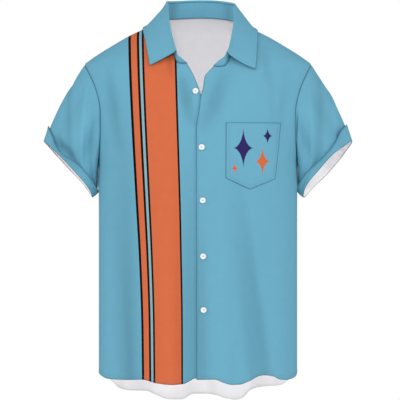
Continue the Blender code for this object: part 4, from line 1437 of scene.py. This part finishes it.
class SHIRT_OT_stitches(bpy.types.Operator):
    """Stitch the hems, cuffs, collar and pocket"""

    bl_idname = "shirt.stitches"
    bl_label = "Stitches"

    def execute(self, context):
        style = context.scene.shirt_style
        pieces = sewn_pieces()
        blue = material_once("thread_blue", lambda name: thread(name, style.thread))
        white = material_once("thread_white", lambda name: thread(name, style.inside))
        size = style.stitch_pitch, style.stitch_length, style.thread_radius
        lift = style.hem_rise

        def row(name, edge, inset, clear=""):
            path, out = inset_path(pieces[name], edge, inset, clear)
            return beads(path + out * lift, out, *size)

        hem = style.hem_width
        made = {
            "stitches_fronts": [
                row(name, "bottom", hem, "first last")
                for name in ("front_right", "front_left", "back")
            ],
            "stitches_sleeves": [
                row(f"cuff_{side}", "top", CUFF_STITCH) for side in ("right", "left")
            ],
            "stitches_collar": [
                row("collar_fall", "bottom", LEAF_STITCH, "first last"),
                *(row("collar_fall", end, LEAF_STITCH, "top bottom") for end in ("first", "last")),
                row("collar_stand", "top", STAND_STITCH, "first last"),
            ],
            "stitches_pocket": [
                row("pocket", edge, inset, "first last" if edge == "bottom" else "bottom")
                for inset in POCKET_STITCH for edge in ("bottom", "first", "last")
            ],
        }
        for name, rows in made.items():
            stitch_object(name, rows, blue)
        path, out = inset_path(pieces["back"], "bottom", hem, "first last")
        under = path - out * (style.thickness + style.hem_rise)
        stitch_object("stitches_inside", [beads(under, -out, *size)], white)
        return {"FINISHED"}


class SHIRT_OT_buttons(bpy.types.Operator):
    """Sew on the five buttons, with the holes of those that are done up"""

    bl_idname = "shirt.buttons"
    bl_label = "Buttons"

    def execute(self, context):
        style = context.scene.shirt_style
        resin = material_once("button_resin", lambda name: button_resin(name, style))
        grey = material_once("thread_button", lambda name: thread(name, style.button_thread))
        blue = material_once("thread_blue", lambda name: thread(name, style.thread))
        threads, holes = [], []
        for number, (x, z) in enumerate(zip(BUTTONS["x"], BUTTONS["z"]), 1):
            button_object(number, x, z, resin)
            threads += button_threads(*button_place(number, x, z))
            if number > 1:
                holes += buttonhole(x, z)
        stitch_object("button_threads", threads, grey)
        stitch_object("buttonholes", holes, blue)
        return {"FINISHED"}


class SHIRT_OT_stage(bpy.types.Operator):
    """Set the floor, the lights and the camera"""

    bl_idname = "shirt.stage"
    bl_label = "Stage"

    def execute(self, context):
        stage = context.scene.shirt_stage
        middle = np.array((VIEW_X, 0, stage.height))
        add_camera(stage, middle)
        for row in LIGHTS:
            add_light(stage, middle, *row)
        add_world(stage)
        add_floor(stage)
        context.scene.view_settings.view_transform = "Standard"
        return {"FINISHED"}


class SHIRT_PT_panel(bpy.types.Panel):
    """Lists the steps that make the shirt"""

    bl_idname = "SHIRT_PT_panel"
    bl_label = "Camp Shirt"
    bl_space_type = "VIEW_3D"
    bl_region_type = "UI"
    bl_category = "Shirt"

    def draw(self, context):
        for group in (context.scene.shirt_style, context.scene.shirt_stage):
            for name in group.__annotations__:
                self.layout.prop(group, name)
        for step in STEPS:
            self.layout.operator(step.bl_idname)


STEPS = (
    SHIRT_OT_panels, SHIRT_OT_sleeves, SHIRT_OT_collar, SHIRT_OT_pocket, SHIRT_OT_stitches,
    SHIRT_OT_buttons, SHIRT_OT_stage,
)
GROUPS = (ShirtStyle, ShirtStage)


def register():
    for item in (*GROUPS, *STEPS, SHIRT_PT_panel):
        bpy.utils.register_class(item)
    bpy.types.Scene.shirt_style = PointerProperty(type=ShirtStyle)
    bpy.types.Scene.shirt_stage = PointerProperty(type=ShirtStage)


def unregister():
    del bpy.types.Scene.shirt_stage, bpy.types.Scene.shirt_style
    for item in reversed((*GROUPS, *STEPS, SHIRT_PT_panel)):
        bpy.utils.unregister_class(item)


def main():
    register()
    bpy.ops.shirt.panels()
    bpy.ops.shirt.sleeves()
    bpy.ops.shirt.collar()
    bpy.ops.shirt.pocket()
    bpy.ops.shirt.stitches()
    bpy.ops.shirt.buttons()
    bpy.ops.shirt.stage()


if __name__ == "__main__":
    main()
